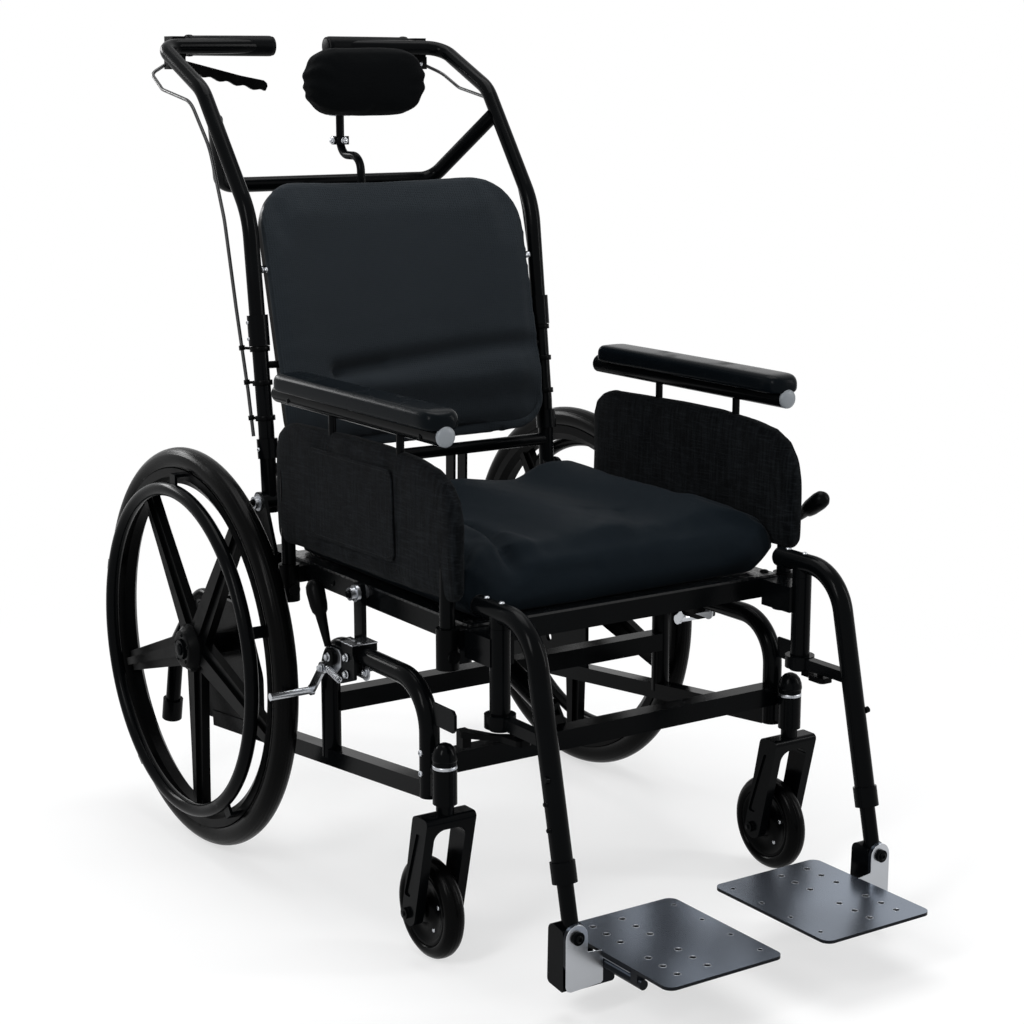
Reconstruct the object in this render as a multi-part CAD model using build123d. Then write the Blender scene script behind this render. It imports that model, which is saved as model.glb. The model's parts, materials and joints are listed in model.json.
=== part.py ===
"""Tilt-in-space wheelchair, modelled about its rear axle and then moved so that the origin is
at the bottom centre of the whole chair. X points to the occupant's left, the front faces -Y,
Z is up. Every size is in millimetres."""
from build123d import *
import os
from math import atan2, cos, degrees, hypot, radians, sin, tan

# ---------------------------------------------------------------- driving dimensions
TUBE_R = 12.7            # one-inch frame tube
SQUARE = 25.4            # one-inch square tube
PIN_PLAY = 0.05          # radial play of a pin in its hole

WHEEL_R = 279.5          # 22 inch rear wheel
WHEEL_X = 324.0
AXLE_Z = WHEEL_R
TYRE_SECTION = 34.0
RIM_R = 252.0            # outside of the moulded rim, where the tyre seats
SPOKES = 5
SPOKE_START = 198.0      # direction of the first spoke, in degrees from the rear, over the top
HANDRIM_R = 225.0
HANDRIM_TUBE_R = 9.5
HANDRIM_X = 354.0
AXLE_PIN_R = 6.35

BASE_X = 270.0           # the arches and lower rails
FRONT_LEG_Y = -531.0
REAR_LEG_Y = -286.0
ARCH_TOP_Z = 345.0
LEG_FOOT_Z = 205.0
FRONT_BEND_R = 60.0
REAR_BEND_R = 40.0
RAIL_SIZE = 22.0
RAIL_FRONT = (-500.0, 212.2)    # two points on a lower rail's centre line, as Y and Z
RAIL_REAR = (50.0, 155.5)
FRONT_BAR_Y = -537.0
FRONT_BAR_Z = 248.0
REAR_BAR_Z = 265.0

CASTER_Y = -567.0
CASTER_X = 271.0
CASTER_R = 64.0
CASTER_WIDTH = 28.0
CASTER_TRAIL = 33.0
FORK_TOP_Z = 195.0
FORK_WIDTH = 70.0
FORK_GAP = 44.0
STEM_R = 6.0

TILT_Y = -326.0
TILT_Z = 414.0
POST_X = 247.5
POST_THICK = 7.0

SEAT_X = 226.0
SEAT_Z = 408.2
SEAT_FRONT_Y = -573.0
SEAT_REAR_Y = -45.0
SEAT_REAR_BAR_Y = -125.0
SEAT_MID_BAR_Y = -205.0
PAN_REAR_Y = -107.0
PAN_THICK = 3.0
CUSHION_HALF = 228.5
CUSHION_FRONT_Y = -575.0
CUSHION_REAR_Y = -105.0
CUSHION_TOP_Z = 512.0

RECLINE_Y = -50.0
RECLINE_Z = 485.0
CANE_X = 232.0
CANE_R = 11.0
BACK_SLOPE = 13.9        # lean of the shell and cushion, in degrees from upright
BACK_FOOT_Y = -95.0      # front edge of the cushion's wings, at its foot
BACK_FOOT_Z = 557.0
BACK_HEIGHT = 378.0
BACK_HALF = 211.0

GRIP_Y = 271.0
GRIP_Z = 1102.0
GRIP_R = 14.0
GRIP_OUTER_X = 187.0
GRIP_INNER_X = 46.0

ARM_X = 261.0
ARM_Z = 650.0
ARM_FRONT_Y = -556.0
ARM_REAR_Y = -138.0
ARM_POSTS_Y = (-286.0, -454.0)
ARM_POST_R = 5.0
SOCKET_FRONT_Y = -559.0
SOCKET_REAR_Y = -159.0
SOCKET_R = 14.0
ARM_FRAME_R = 9.5

HANGER_X = 232.0
HANGER_POST_Y = -628.0
HANGER_POST_R = 12.5
HANGER_TOP_Z = 450.0
HANGER_KNEE_Y = -695.5
HANGER_FOOT = (-762.0, 162.0)
EXTENSION_R = 9.75
FOOT_PIVOT_X = 233.0
FOOT_PIVOT_Z = 104.0
FOOT_PIVOT_Y = -782.0
PLATE_INNER_X = 32.0
PLATE_OUTER_X = 199.0
PLATE_REAR_Y = -705.0
PLATE_FRONT_Y = -914.0
PLATE_TOP_Z = 81.0
PLATE_THICK = 4.0

LOCK_Y = -332.0
LOCK_Z = 338.0
LOCK_X = 295.0
SHOE_PIVOT = (-322.0, 322.0)
SHOE_Y = -291.0
SHOE_Z = 285.0
SHOE_STROKE = 8.5        # turn of a shoe arm from released to applied, in degrees
LONG_LEVER_TURN = 51.0   # how far forward the applied left lever lies, in degrees

TILT_SPRING_X = -75.0
TILT_SPRING_FOOT = (-500.0, 275.0)
TILT_SPRING_EYE = (-200.0, 381.5)
RECLINE_SPRING_X = 75.0
RECLINE_SPRING_FOOT = (-420.0, 360.0)
RECLINE_SPRING_EYE = (-46.0, 370.0)
SPRING_BODY_R = 14.0
SPRING_ROD_R = 5.0
SPRING_PIN_R = 4.0

CENTRE_Y = -(PLATE_FRONT_Y + GRIP_Y + GRIP_R) / 2

SIDES = {"left": 1, "right": -1}


# ---------------------------------------------------------------- helpers
def on_side(shape, side):
    """Shapes are drawn on the occupant's left; the right one is its mirror image."""
    return shape if side > 0 else mirror(shape, about=Plane.YZ)


def both(shape):
    return [shape, mirror(shape, about=Plane.YZ)]


def write(node, shapes):
    """Move a node's solids to the final frame and write them to one file."""
    solids = [solid for shape in shapes for solid in shape.solids()]
    moved = [Pos(0, CENTRE_Y, 0) * solid for solid in solids]
    export_step(Compound(children=moved), f"parts/{node}.step")


def rod(start, end, radius):
    """Straight round bar between two points."""
    axis = Vector(*end) - Vector(*start)
    return extrude(Plane(origin=start, z_dir=axis) * Circle(radius), amount=axis.length)


def bar(start, end, width, height):
    """Straight rectangular bar between two points of a plane X = constant; width is along X."""
    axis = Vector(*end) - Vector(*start)
    section = Plane(origin=start, x_dir=(1, 0, 0), z_dir=axis) * Rectangle(width, height)
    return extrude(section, amount=axis.length)


def tube(points, radius, bends):
    """Round bar along straight runs joined by tangent arcs."""
    path = FilletPolyline(*points, radius=bends)
    section = Plane(origin=path @ 0, z_dir=path % 0) * Circle(radius)
    return sweep(section, path=path)


def block(x_range, y_range, z_range):
    size = [high - low for low, high in (x_range, y_range, z_range)]
    centre = [(high + low) / 2 for low, high in (x_range, y_range, z_range)]
    return Pos(*centre) * Box(*size)


def drum(x_range, y, z, radius):
    """Cylinder along X."""
    return rod((x_range[0], y, z), (x_range[1], y, z), radius)


def post(x, y, z_range, radius):
    """Cylinder along Z."""
    return rod((x, y, z_range[0]), (x, y, z_range[1]), radius)


def outline(points, radii):
    """Closed face with rounded corners."""
    return make_face(FilletPolyline(*points, radius=radii, close=True))


def plate_yz(points, radii, x_range):
    """Plate of constant thickness, drawn as Y and Z."""
    face = Plane(origin=(x_range[0], 0, 0), x_dir=(0, 1, 0), z_dir=(1, 0, 0)) * outline(points, radii)
    return extrude(face, amount=x_range[1] - x_range[0])


def plate_xz(points, radii, y_range):
    """Plate of constant thickness, drawn as X and Z."""
    face = Plane(origin=(0, y_range[1], 0), x_dir=(1, 0, 0), z_dir=(0, -1, 0)) * outline(points, radii)
    return extrude(face, amount=y_range[1] - y_range[0])


def plate_xy(points, radii, z_range):
    """Plate of constant thickness, drawn as X and Y."""
    face = Plane(origin=(0, 0, z_range[0])) * outline(points, radii)
    return extrude(face, amount=z_range[1] - z_range[0])


def turned_x(profile_points, x, y, z):
    """Solid of revolution about an X axis, from (offset along X, radius) points."""
    plane = Plane(origin=(x, y, z), x_dir=(1, 0, 0), z_dir=(0, -1, 0))
    face = plane * make_face(Polyline(*profile_points, close=True))
    return revolve(face, axis=Axis((x, y, z), (1, 0, 0)))


def along(start, end, distance):
    """Point at a distance from start towards end, as Y and Z."""
    length = hypot(end[0] - start[0], end[1] - start[1])
    return (start[0] + (end[0] - start[0]) * distance / length,
            start[1] + (end[1] - start[1]) * distance / length)


# ---------------------------------------------------------------- rear wheels
def tyre():
    """Ring of the tyre, round outside and flat where it seats on the rim."""
    half = TYRE_SECTION / 2
    ring = Torus(WHEEL_R - half, half)
    seat = Cylinder(RIM_R, TYRE_SECTION + 2)
    return Pos(WHEEL_X, 0, AXLE_Z) * (Rot(0, 90, 0) * (ring - seat))


def spoke(angle):
    """Tapered spoke with a raised rib, from the hub to the rim."""
    inner, outer = 24.0, RIM_R - 10.0
    base = Polyline((inner, -23), (outer, -14), (outer, 14), (inner, 23), close=True)
    rib = Polyline((inner, -9), (outer, -5), (outer, 5), (inner, 9), close=True)
    body = extrude(Plane.XY * make_face(base), amount=6, both=True)
    body += extrude(Plane.XY * make_face(rib), amount=11, both=True)
    return Rot(angle - 90, 0, 0) * (Rot(0, -90, 0) * body)


def mag_wheel():
    """One moulded piece: hub, five spokes and the channelled rim."""
    rim = turned_x([(-15, RIM_R), (15, RIM_R), (15, RIM_R - 12), (8, RIM_R - 22), (-8, RIM_R - 22),
                    (-15, RIM_R - 12)], 0, 0, 0)
    hub = turned_x([(-21, AXLE_PIN_R + PIN_PLAY), (-21, 26), (-12, 34), (12, 34), (20, 24),
                    (20, AXLE_PIN_R + PIN_PLAY)], 0, 0, 0)
    spokes = [spoke(SPOKE_START + 360 / SPOKES * i) for i in range(SPOKES)]
    wheel = rim + hub
    for arm in spokes:
        wheel += arm
    wheel -= drum((-40, 40), 0, 0, AXLE_PIN_R + PIN_PLAY)
    return Pos(WHEEL_X, 0, AXLE_Z) * wheel


def handrim():
    """Push ring outside the wheel, with a flat tab to the rim between each two spokes."""
    section = Plane.XZ * Pos(0, HANDRIM_R) * Circle(HANDRIM_TUBE_R)
    ring = revolve(section, axis=Axis.X)
    rim_face = WHEEL_X - HANDRIM_X + 15
    tab = block((rim_face, 0), (-8, 8), (RIM_R - 8, RIM_R - 4))
    tab += block((-4, 0), (-8, 8), (HANDRIM_R, RIM_R - 4))
    for i in range(SPOKES):
        ring += Rot(SPOKE_START + 360 / SPOKES * (i + 0.5) - 90, 0, 0) * tab
    return Pos(HANDRIM_X, 0, AXLE_Z) * ring


def wheel_axle():
    """Quick-release pin with its outer button and inner nut."""
    pin = drum((254, 348), 0, AXLE_Z, AXLE_PIN_R)
    pin += drum((344.5, 352), 0, AXLE_Z, 13)
    return pin + drum((252, 261.9), 0, AXLE_Z, 11)


# ---------------------------------------------------------------- base frame
def rail_point(y):
    slope = (RAIL_REAR[1] - RAIL_FRONT[1]) / (RAIL_REAR[0] - RAIL_FRONT[0])
    return RAIL_FRONT[1] + slope * (y - RAIL_FRONT[0])


def lower_rail():
    start_y = FRONT_LEG_Y + 2
    rail = bar((BASE_X - 1, start_y, rail_point(start_y)), (BASE_X - 1, RAIL_REAR[0], RAIL_REAR[1]),
               RAIL_SIZE, RAIL_SIZE)
    return rail - post(BASE_X, FRONT_LEG_Y, (100, 330), TUBE_R)


def arch():
    """Inverted U of round tube: front leg, top and rear leg down to the lower rail."""
    shape = tube([(BASE_X, FRONT_LEG_Y, LEG_FOOT_Z), (BASE_X, FRONT_LEG_Y, ARCH_TOP_Z),
                  (BASE_X, REAR_LEG_Y, ARCH_TOP_Z), (BASE_X, REAR_LEG_Y, rail_point(REAR_LEG_Y))],
                 TUBE_R, [FRONT_BEND_R, REAR_BEND_R])
    return shape - lower_rail()


def crossbar(y, z):
    half = BASE_X - 7
    shape = block((-half, half), (y - SQUARE / 2, y + SQUARE / 2), (z - SQUARE / 2, z + SQUARE / 2))
    for leg_y in (FRONT_LEG_Y, REAR_LEG_Y):
        for leg in both(post(BASE_X, leg_y, (150, 340), TUBE_R)):
            shape -= leg
    return shape


def caster_housing():
    """Bearing barrel with its ring and domed cap, on a web to the front leg."""
    barrel = post(CASTER_X, CASTER_Y, (207, 250), 15) + post(CASTER_X, CASTER_Y, (250, 256), 12.5)
    barrel += post(CASTER_X, CASTER_Y, (256, 261), 15) + post(CASTER_X, CASTER_Y, (261, 275), 11)
    barrel += Pos(CASTER_X, CASTER_Y, 275) * Sphere(11, arc_size1=0)
    web = block((CASTER_X - 6, CASTER_X + 6), (CASTER_Y, FRONT_LEG_Y), (211, 246))
    web -= post(BASE_X, FRONT_LEG_Y, (200, 260), TUBE_R)
    return barrel + web - post(CASTER_X, CASTER_Y, (200, 262), STEM_R + PIN_PLAY)


def axle_plate():
    """Side plate on the lower rail with a column of axle holes and the axle sleeve."""
    thickness = (272, 278)
    shape = plate_yz([(-98, rail_point(-98)), (-98, 250), (-52, 340), (60, 340), (98, 300),
                      (98, rail_point(98))],
                     [8, 40, 25, 30, 30, 8], thickness)
    shape -= bar((BASE_X - 1, -200, rail_point(-200)), (BASE_X - 1, RAIL_REAR[0], RAIL_REAR[1]),
                 RAIL_SIZE, RAIL_SIZE)
    for y in (-55, 55):
        shape -= drum((270, 280), y, AXLE_Z - 5, 9)
    for drop in (50, 75):
        shape -= drum((270, 280), 0, AXLE_Z - drop, 7)
    sleeve = drum((262, 302), 0, AXLE_Z, 15)
    return shape + sleeve - drum((250, 310), 0, AXLE_Z, AXLE_PIN_R + PIN_PLAY)


def tilt_post():
    """Flat upright on the inside of the arch, with the hole for the tilt pivot."""
    half = POST_THICK / 2
    upright = plate_yz([(TILT_Y - 10, ARCH_TOP_Z - 15), (TILT_Y - 10, TILT_Z + 14),
                        (TILT_Y + 10, TILT_Z + 14), (TILT_Y + 10, ARCH_TOP_Z - 15)],
                       [1, 9, 9, 1], (POST_X - half, POST_X + half))
    foot = block((POST_X + half, BASE_X), (TILT_Y - 20, TILT_Y + 20), (ARCH_TOP_Z - 12, ARCH_TOP_Z + 7))
    foot = (foot - arch()).solids().sort_by(Axis.X)[0]
    return upright + foot - drum((240, 256), TILT_Y, TILT_Z, 5 + PIN_PLAY)


ANTI_TIP_ROUTE = [(261, 30, 322), (261, 120, 322), (261, 207, 228), (261, 232, 115)]


def anti_tipper():
    """Bent tube clamped to the axle plate, with a rubber tip over its end."""
    shape = tube(ANTI_TIP_ROUTE, 11, [40, 60])
    clamp = block((249, 272), (35, 65), (308, 336))
    end = Vector(*ANTI_TIP_ROUTE[3])
    direction = (end - Vector(*ANTI_TIP_ROUTE[2])).normalized()
    tip = rod(tuple(end - direction * 22), tuple(end + direction * 10), 15)
    return [shape + clamp - tip, tip]


# ---------------------------------------------------------------- casters
def caster_fork():
    """Moulded fork with a stem; both arms slant back to the wheel's axle."""
    wheel_y = CASTER_Y + CASTER_TRAIL
    side = plate_yz([(CASTER_Y - 17, FORK_TOP_Z), (CASTER_Y + 17, FORK_TOP_Z),
                     (wheel_y + 15, CASTER_R - 15), (wheel_y - 15, CASTER_R - 15)],
                    [6, 10, 14.5, 14.5], (CASTER_X - FORK_WIDTH / 2, CASTER_X + FORK_WIDTH / 2))
    gap = FORK_GAP / 2
    window = plate_xz([(CASTER_X - gap, 20), (CASTER_X - gap, FORK_TOP_Z - 16),
                       (CASTER_X + gap, FORK_TOP_Z - 16), (CASTER_X + gap, 20)],
                      [1, 14, 14, 1], (CASTER_Y - 60, wheel_y + 60))
    shape = side - window
    relief = plate_yz([(CASTER_Y - 8, FORK_TOP_Z - 22), (CASTER_Y + 9, FORK_TOP_Z - 22),
                       (wheel_y + 6, CASTER_R + 22), (wheel_y - 7, CASTER_R + 22)],
                      [3, 3, 3, 3], (0, 3))
    for x in (CASTER_X - FORK_WIDTH / 2 - 0.5, CASTER_X + FORK_WIDTH / 2 - 2.5):
        shape -= Pos(x, 0, 0) * relief
    stem = post(CASTER_X, CASTER_Y, (FORK_TOP_Z - 4, 258), STEM_R)
    stem += post(CASTER_X, CASTER_Y, (FORK_TOP_Z - 4, 206.7), 11)
    axle = drum((CASTER_X - 38, CASTER_X + 38), wheel_y, CASTER_R, 4)
    heads = drum((CASTER_X - 40, CASTER_X - 35), wheel_y, CASTER_R, 7)
    heads += drum((CASTER_X + 35, CASTER_X + 40), wheel_y, CASTER_R, 7)
    return shape + stem + axle + heads


def caster_wheel():
    """Solid tyre on a dished disc, with a bore for the axle."""
    half = CASTER_WIDTH / 2
    bore = 4 + PIN_PLAY
    hub = FORK_GAP / 2 - 0.6
    profile = [(-hub, bore), (-hub, 10), (-6, 14), (-6, 40), (-half + 2, 46), (-half, 56),
               (-half + 3, 61), (-half + 8, 63.6), (0, CASTER_R), (half - 8, 63.6), (half - 3, 61),
               (half, 56), (half - 2, 46), (6, 40), (6, 14), (hub, 10), (hub, bore)]
    return turned_x(profile, CASTER_X, CASTER_Y + CASTER_TRAIL, CASTER_R)


# ---------------------------------------------------------------- wheel locks
def lock_bracket():
    """Clamp round the arch's top with the plate that carries lever and shoe arm."""
    clamp = block((BASE_X - 16, 290), (-380, -352), (ARCH_TOP_Z - 20, ARCH_TOP_Z + 16))
    clamp -= rod((BASE_X, -400, ARCH_TOP_Z), (BASE_X, -340, ARCH_TOP_Z), TUBE_R)
    cheek = plate_yz([(-384, 318), (-384, 352), (-322, 352), (-308, 326), (-314, 306), (-350, 306)],
                     [4, 10, 10, 8, 8, 10], (286, 290))
    stub = drum((286, 299), LOCK_Y, LOCK_Z, 4) + drum((286, 304.5), *SHOE_PIVOT, 4)
    return clamp + cheek + stub


def lock_lever(reach, lean):
    """Flat lever with a moulded grip, leaning by an angle from upright towards the front."""
    bore = drum((LOCK_X - 6, LOCK_X + 6), 0, 0, 4 + PIN_PLAY)
    boss = drum((LOCK_X - 4.5, LOCK_X + 3.5), 0, 0, 11)
    blade = plate_yz([(-8, 0), (-7, reach - 20), (7, reach - 20), (8, 0)], [1, 1, 1, 1],
                     (LOCK_X - 4, LOCK_X + 2))
    grip = post(LOCK_X, 0, (reach - 34, reach - 8), 10.5) + post(LOCK_X, 0, (reach - 42, reach - 34), 8)
    grip += Pos(LOCK_X, 0, reach - 8) * Sphere(10.5, arc_size1=0)
    shape = boss + blade + grip - bore
    return Pos(0, LOCK_Y, LOCK_Z) * (Rot(lean, 0, 0) * shape)


def lock_shoe(turn):
    """Arm and round shoe bar that crosses the tread, turned towards the tyre."""
    pivot_y, pivot_z = SHOE_PIVOT
    start = (299.3, 303.3)
    arm = bar((301.3, pivot_y, pivot_z), (301.3, SHOE_Y, SHOE_Z), 4, 12)
    arm += drum(start, pivot_y, pivot_z, 8) + drum(start, SHOE_Y, SHOE_Z, 7)
    arm += drum((299.3, 361), SHOE_Y, SHOE_Z, 5)
    arm -= drum((290, 310), pivot_y, pivot_z, 4 + PIN_PLAY)
    return Pos(0, pivot_y, pivot_z) * (Rot(turn, 0, 0) * (Pos(0, -pivot_y, -pivot_z) * arm))


# ---------------------------------------------------------------- seat
def seat_frame():
    """Two side rails with a front and a rear bar, all square tube."""
    half = SQUARE / 2
    heights = (SEAT_Z - half, SEAT_Z + half)
    rails = both(block((SEAT_X - half, SEAT_X + half), (SEAT_FRONT_Y, SEAT_REAR_Y), heights))
    inner = SEAT_X - half
    front = block((-inner, inner), (SEAT_FRONT_Y, SEAT_FRONT_Y + SQUARE), heights)
    bars = [block((-inner, inner), (y - half, y + half), heights) for y in (SEAT_MID_BAR_Y, SEAT_REAR_BAR_Y)]
    return rails + [front] + bars


def ears(x, points, radii, pin):
    """Two ears either side of a spring's eye, with the pin that carries it."""
    shape = drum((x - 14, x + 14), *pin, SPRING_PIN_R)
    for start in (x - 12, x + 8):
        shape += plate_yz(points, radii, (start, start + 4))
    return shape


def seat_lugs():
    """Ears under the seat: for the tilt spring's rod end and for the recline spring's foot."""
    top = SEAT_Z - SQUARE / 2
    y, z = TILT_SPRING_EYE
    rear_lug = ears(TILT_SPRING_X, [(SEAT_MID_BAR_Y + 12, top), (SEAT_MID_BAR_Y - 12, top), (y - 12, z - 12),
                                    (y + 12, z - 12)], [1, 1, 9, 9], TILT_SPRING_EYE)
    y, z = RECLINE_SPRING_FOOT
    front_lug = ears(RECLINE_SPRING_X, [(y - 14, top), (y + 10, top), (y + 9, z - 12), (y - 12, z - 12)],
                     [1, 1, 8, 8], RECLINE_SPRING_FOOT)
    front_lug += block((RECLINE_SPRING_X - 12, RECLINE_SPRING_X + 12), (SEAT_FRONT_Y + SQUARE, y + 10),
                       (top, top + 4))
    return [rear_lug, front_lug]


def seat_pan():
    """Sheet on the seat frame with rounded corners."""
    half = SEAT_X + SQUARE / 2
    top = SEAT_Z + SQUARE / 2
    return plate_xy([(-half, SEAT_FRONT_Y), (half, SEAT_FRONT_Y), (half, PAN_REAR_Y),
                     (-half, PAN_REAR_Y)], [6, 6, 6, 6], (top, top + PAN_THICK))


def seat_cushion():
    """Crowned cushion with two thigh troughs and drawn-in sides."""
    bottom = SEAT_Z + SQUARE / 2 + PAN_THICK
    half = CUSHION_HALF
    side = [(-half + 12, bottom), (-half, bottom + 30), (-half + 3, CUSHION_TOP_Z - 16)]
    crest = [(-half + 26, CUSHION_TOP_Z), (-half * 0.46, CUSHION_TOP_Z - 18), (0, CUSHION_TOP_Z - 8),
             (half * 0.46, CUSHION_TOP_Z - 18), (half - 26, CUSHION_TOP_Z)]
    rising = Spline(side[0], side[1], side[2], crest[0])
    across = Spline(*crest, tangents=((1, 0.1), (1, -0.1)))
    falling = Spline(crest[4], (half - 3, CUSHION_TOP_Z - 16), (half, bottom + 30), (half - 12, bottom))
    base = Line((half - 12, bottom), (-half + 12, bottom))
    face = Plane(origin=(0, CUSHION_REAR_Y, 0), x_dir=(1, 0, 0), z_dir=(0, -1, 0)) * make_face(
        [rising, across, falling, base])
    body = extrude(face, amount=CUSHION_REAR_Y - CUSHION_FRONT_Y)
    front, rear = CUSHION_FRONT_Y, CUSHION_REAR_Y
    long_top = Spline((front + 14, CUSHION_TOP_Z - 22), (front + 60, CUSHION_TOP_Z - 6),
                      ((front + rear) / 2, CUSHION_TOP_Z + 1), (rear - 40, CUSHION_TOP_Z - 1),
                      (rear - 6, CUSHION_TOP_Z - 18))
    nose = ThreePointArc((front + 20, bottom), (front, (bottom + CUSHION_TOP_Z) / 2 - 12),
                         (front + 14, CUSHION_TOP_Z - 22))
    tail = ThreePointArc((rear - 6, CUSHION_TOP_Z - 18), (rear, (bottom + CUSHION_TOP_Z) / 2),
                         (rear - 12, bottom))
    floor = Line((rear - 12, bottom), (front + 20, bottom))
    side_face = Plane(origin=(-300, 0, 0), x_dir=(0, 1, 0), z_dir=(1, 0, 0)) * make_face(
        [long_top, tail, floor, nose])
    plan = plate_xy([(-half, front), (half, front), (half, rear), (-half, rear)],
                    [45, 45, 25, 25], (bottom - 5, CUSHION_TOP_Z + 20))
    return body & extrude(side_face, amount=600) & plan


def arm_sockets():
    """Split tubes on the outside of the seat rails that the arm frames drop into."""
    shapes = []
    for y, x in ((SOCKET_FRONT_Y, ARM_X), (SOCKET_REAR_Y, ARM_X)):
        socket = post(x, y, (371, 421), SOCKET_R)
        socket += block((SEAT_X + SQUARE / 2, x), (y - 11, y + 11), (SEAT_Z - 12, SEAT_Z + 10))
        socket -= post(x, y, (360, 430), ARM_FRAME_R + PIN_PLAY)
        socket += rod((x, y - 16, 388), (x, y - SOCKET_R + 1, 388), 8)
        shapes += both(socket)
    return shapes


def hanger_post():
    """Upright post in front of the seat corner, on a block that caps the rail."""
    x = HANGER_X
    shape = post(x, HANGER_POST_Y, (308, 432), HANGER_POST_R)
    shape += block((x - 20, x + 14), (HANGER_POST_Y, SEAT_FRONT_Y), (386, 420))
    shape -= post(x, HANGER_POST_Y, (388, 440), 8 + PIN_PLAY)
    return shape


def back_bracket():
    """Cheek on the seat rail that carries the recline pivot."""
    spacer = block((SEAT_X + SQUARE / 2, 244), (-92, -47), (SEAT_Z - 9, SEAT_Z + 11))
    cheek = plate_yz([(-95, SEAT_Z - 12), (-95, SEAT_Z + 16), (RECLINE_Y - 14, RECLINE_Z + 14),
                      (RECLINE_Y + 14, RECLINE_Z + 14), (-34, SEAT_Z - 12)],
                     [8, 20, 13, 13, 8], (244, 249))
    return spacer + cheek - drum((240, 252), RECLINE_Y, RECLINE_Z, 5)


def pivot_bolts():
    """Tilt studs on the seat rails and recline bolts through the cheeks, each with a washer."""
    face = SEAT_X + SQUARE / 2
    tilt = drum((face, 262), TILT_Y, TILT_Z, 5) + drum((256, 263), TILT_Y, TILT_Z, 8.5)
    tilt += drum((face, 243.5), TILT_Y, TILT_Z, 9)
    washer = drum((251.3, 256), TILT_Y, TILT_Z, 11) - drum((250, 257), TILT_Y, TILT_Z, 5)
    recline = drum((224, 256), RECLINE_Y, RECLINE_Z, 5) + drum((251, 257), RECLINE_Y, RECLINE_Z, 8.5)
    collar = drum((249, 251), RECLINE_Y, RECLINE_Z, 12) - drum((248, 252), RECLINE_Y, RECLINE_Z, 5)
    return both(tilt) + both(washer) + both(recline) + both(collar)


# ---------------------------------------------------------------- armrests
def arm_frame():
    """Welded frame inside the side panel: two stakes, a bar and two guide tubes."""
    shape = post(ARM_X, SOCKET_FRONT_Y, (372, 560), ARM_FRAME_R)
    shape += post(ARM_X, SOCKET_REAR_Y, (372, 560), ARM_FRAME_R)
    shape += block((ARM_X - 6, ARM_X + 6), (SOCKET_FRONT_Y, SOCKET_REAR_Y), (470, 488))
    for y in ARM_POSTS_Y:
        shape += post(ARM_X, y, (470, 600), 8)
        shape -= post(ARM_X, y, (465, 610), ARM_POST_R + PIN_PLAY)
    return shape


def side_panel():
    """Foam panel round the arm frame, with a sewn pocket on its outer face."""
    body = plate_yz([(-136, 447), (-136, 592), (-172, 622), (-440, 626), (-594, 604), (-595, 452),
                     (-470, 446)], [10, 25, 30, 200, 62, 12, 60], (ARM_X - 13, ARM_X + 9))
    pocket = plate_yz([(-240, 478), (-236, 594), (-452, 596), (-458, 478)], [14, 14, 14, 14],
                      (ARM_X + 8, ARM_X + 11.5))
    shape = body + pocket - arm_frame()
    for y in ARM_POSTS_Y:
        shape -= post(ARM_X, y, (465, 640), 8)
    return shape


def arm_rail():
    """Armrest tube with its two height posts."""
    shape = rod((ARM_X, ARM_FRONT_Y, ARM_Z), (ARM_X, ARM_REAR_Y - 6, ARM_Z), TUBE_R)
    for y in ARM_POSTS_Y:
        shape += post(ARM_X, y, (480, ARM_Z), ARM_POST_R)
    return shape


def armpad():
    """Rounded pad that sits over the tube's upper half."""
    half = 25.0
    face = Plane(origin=(ARM_X, 0, 0), x_dir=(1, 0, 0), z_dir=(0, -1, 0)) * outline(
        [(-half, 648), (half, 648), (half - 2, 680), (-half + 2, 680)], [7, 7, 12, 12])
    pad = Pos(0, ARM_REAR_Y, 0) * extrude(face, amount=ARM_REAR_Y - ARM_FRONT_Y + 3)
    plan = plate_xy([(ARM_X - half, ARM_REAR_Y), (ARM_X + half, ARM_REAR_Y),
                     (ARM_X + half, ARM_FRONT_Y - 3), (ARM_X - half, ARM_FRONT_Y - 3)],
                    [10, 10, 22, 22], (640, 690))
    return (pad & plan) - rod((ARM_X, ARM_FRONT_Y - 20, ARM_Z), (ARM_X, ARM_REAR_Y + 20, ARM_Z), TUBE_R)


# ---------------------------------------------------------------- back
CANE_ROUTE = [(CANE_X, -52, 470), (CANE_X, -45, 586), (CANE_X, -10, 873), (CANE_X + 4, 116, 1040),
              (CANE_X + 4, 245, GRIP_Z - 2), (GRIP_INNER_X + 6, GRIP_Y, GRIP_Z)]
CANE_BENDS = [120, 110, 60, 30]


def cane_y(z):
    """Y of a cane's centre line between the shell's foot and its upper bend."""
    low, high = CANE_ROUTE[1], CANE_ROUTE[2]
    return low[1] + (high[1] - low[1]) * (z - low[2]) / (high[2] - low[2])


def back_cane():
    """Bent tube from the recline pivot up to the handle, with two clamp collars."""
    shape = tube(CANE_ROUTE, CANE_R, CANE_BENDS)
    for low, high in ((545, 572), (698, 740)):
        middle = (low + high) / 2
        lean = degrees(atan2(cane_y(high) - cane_y(low), high - low))
        shape += Pos(CANE_X, cane_y(middle), middle) * (Rot(-lean, 0, 0) * Cylinder(14.5, high - low))
    shape += drum((CANE_X - 10, CANE_X + 10), RECLINE_Y, RECLINE_Z, 14)
    return shape - drum((200, 260), RECLINE_Y, RECLINE_Z, 5 + PIN_PLAY)


def push_crossbar():
    """U-shaped bar between the canes, behind and below the handles."""
    shape = tube([(CANE_X - 2, 92, 1000), (178, 184, 904), (-178, 184, 904), (-CANE_X + 2, 92, 1000)],
                 CANE_R, [30, 30])
    for cane in both(back_cane()):
        shape -= cane
    return shape.solids().sort_by(SortBy.VOLUME)[-1]


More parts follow.
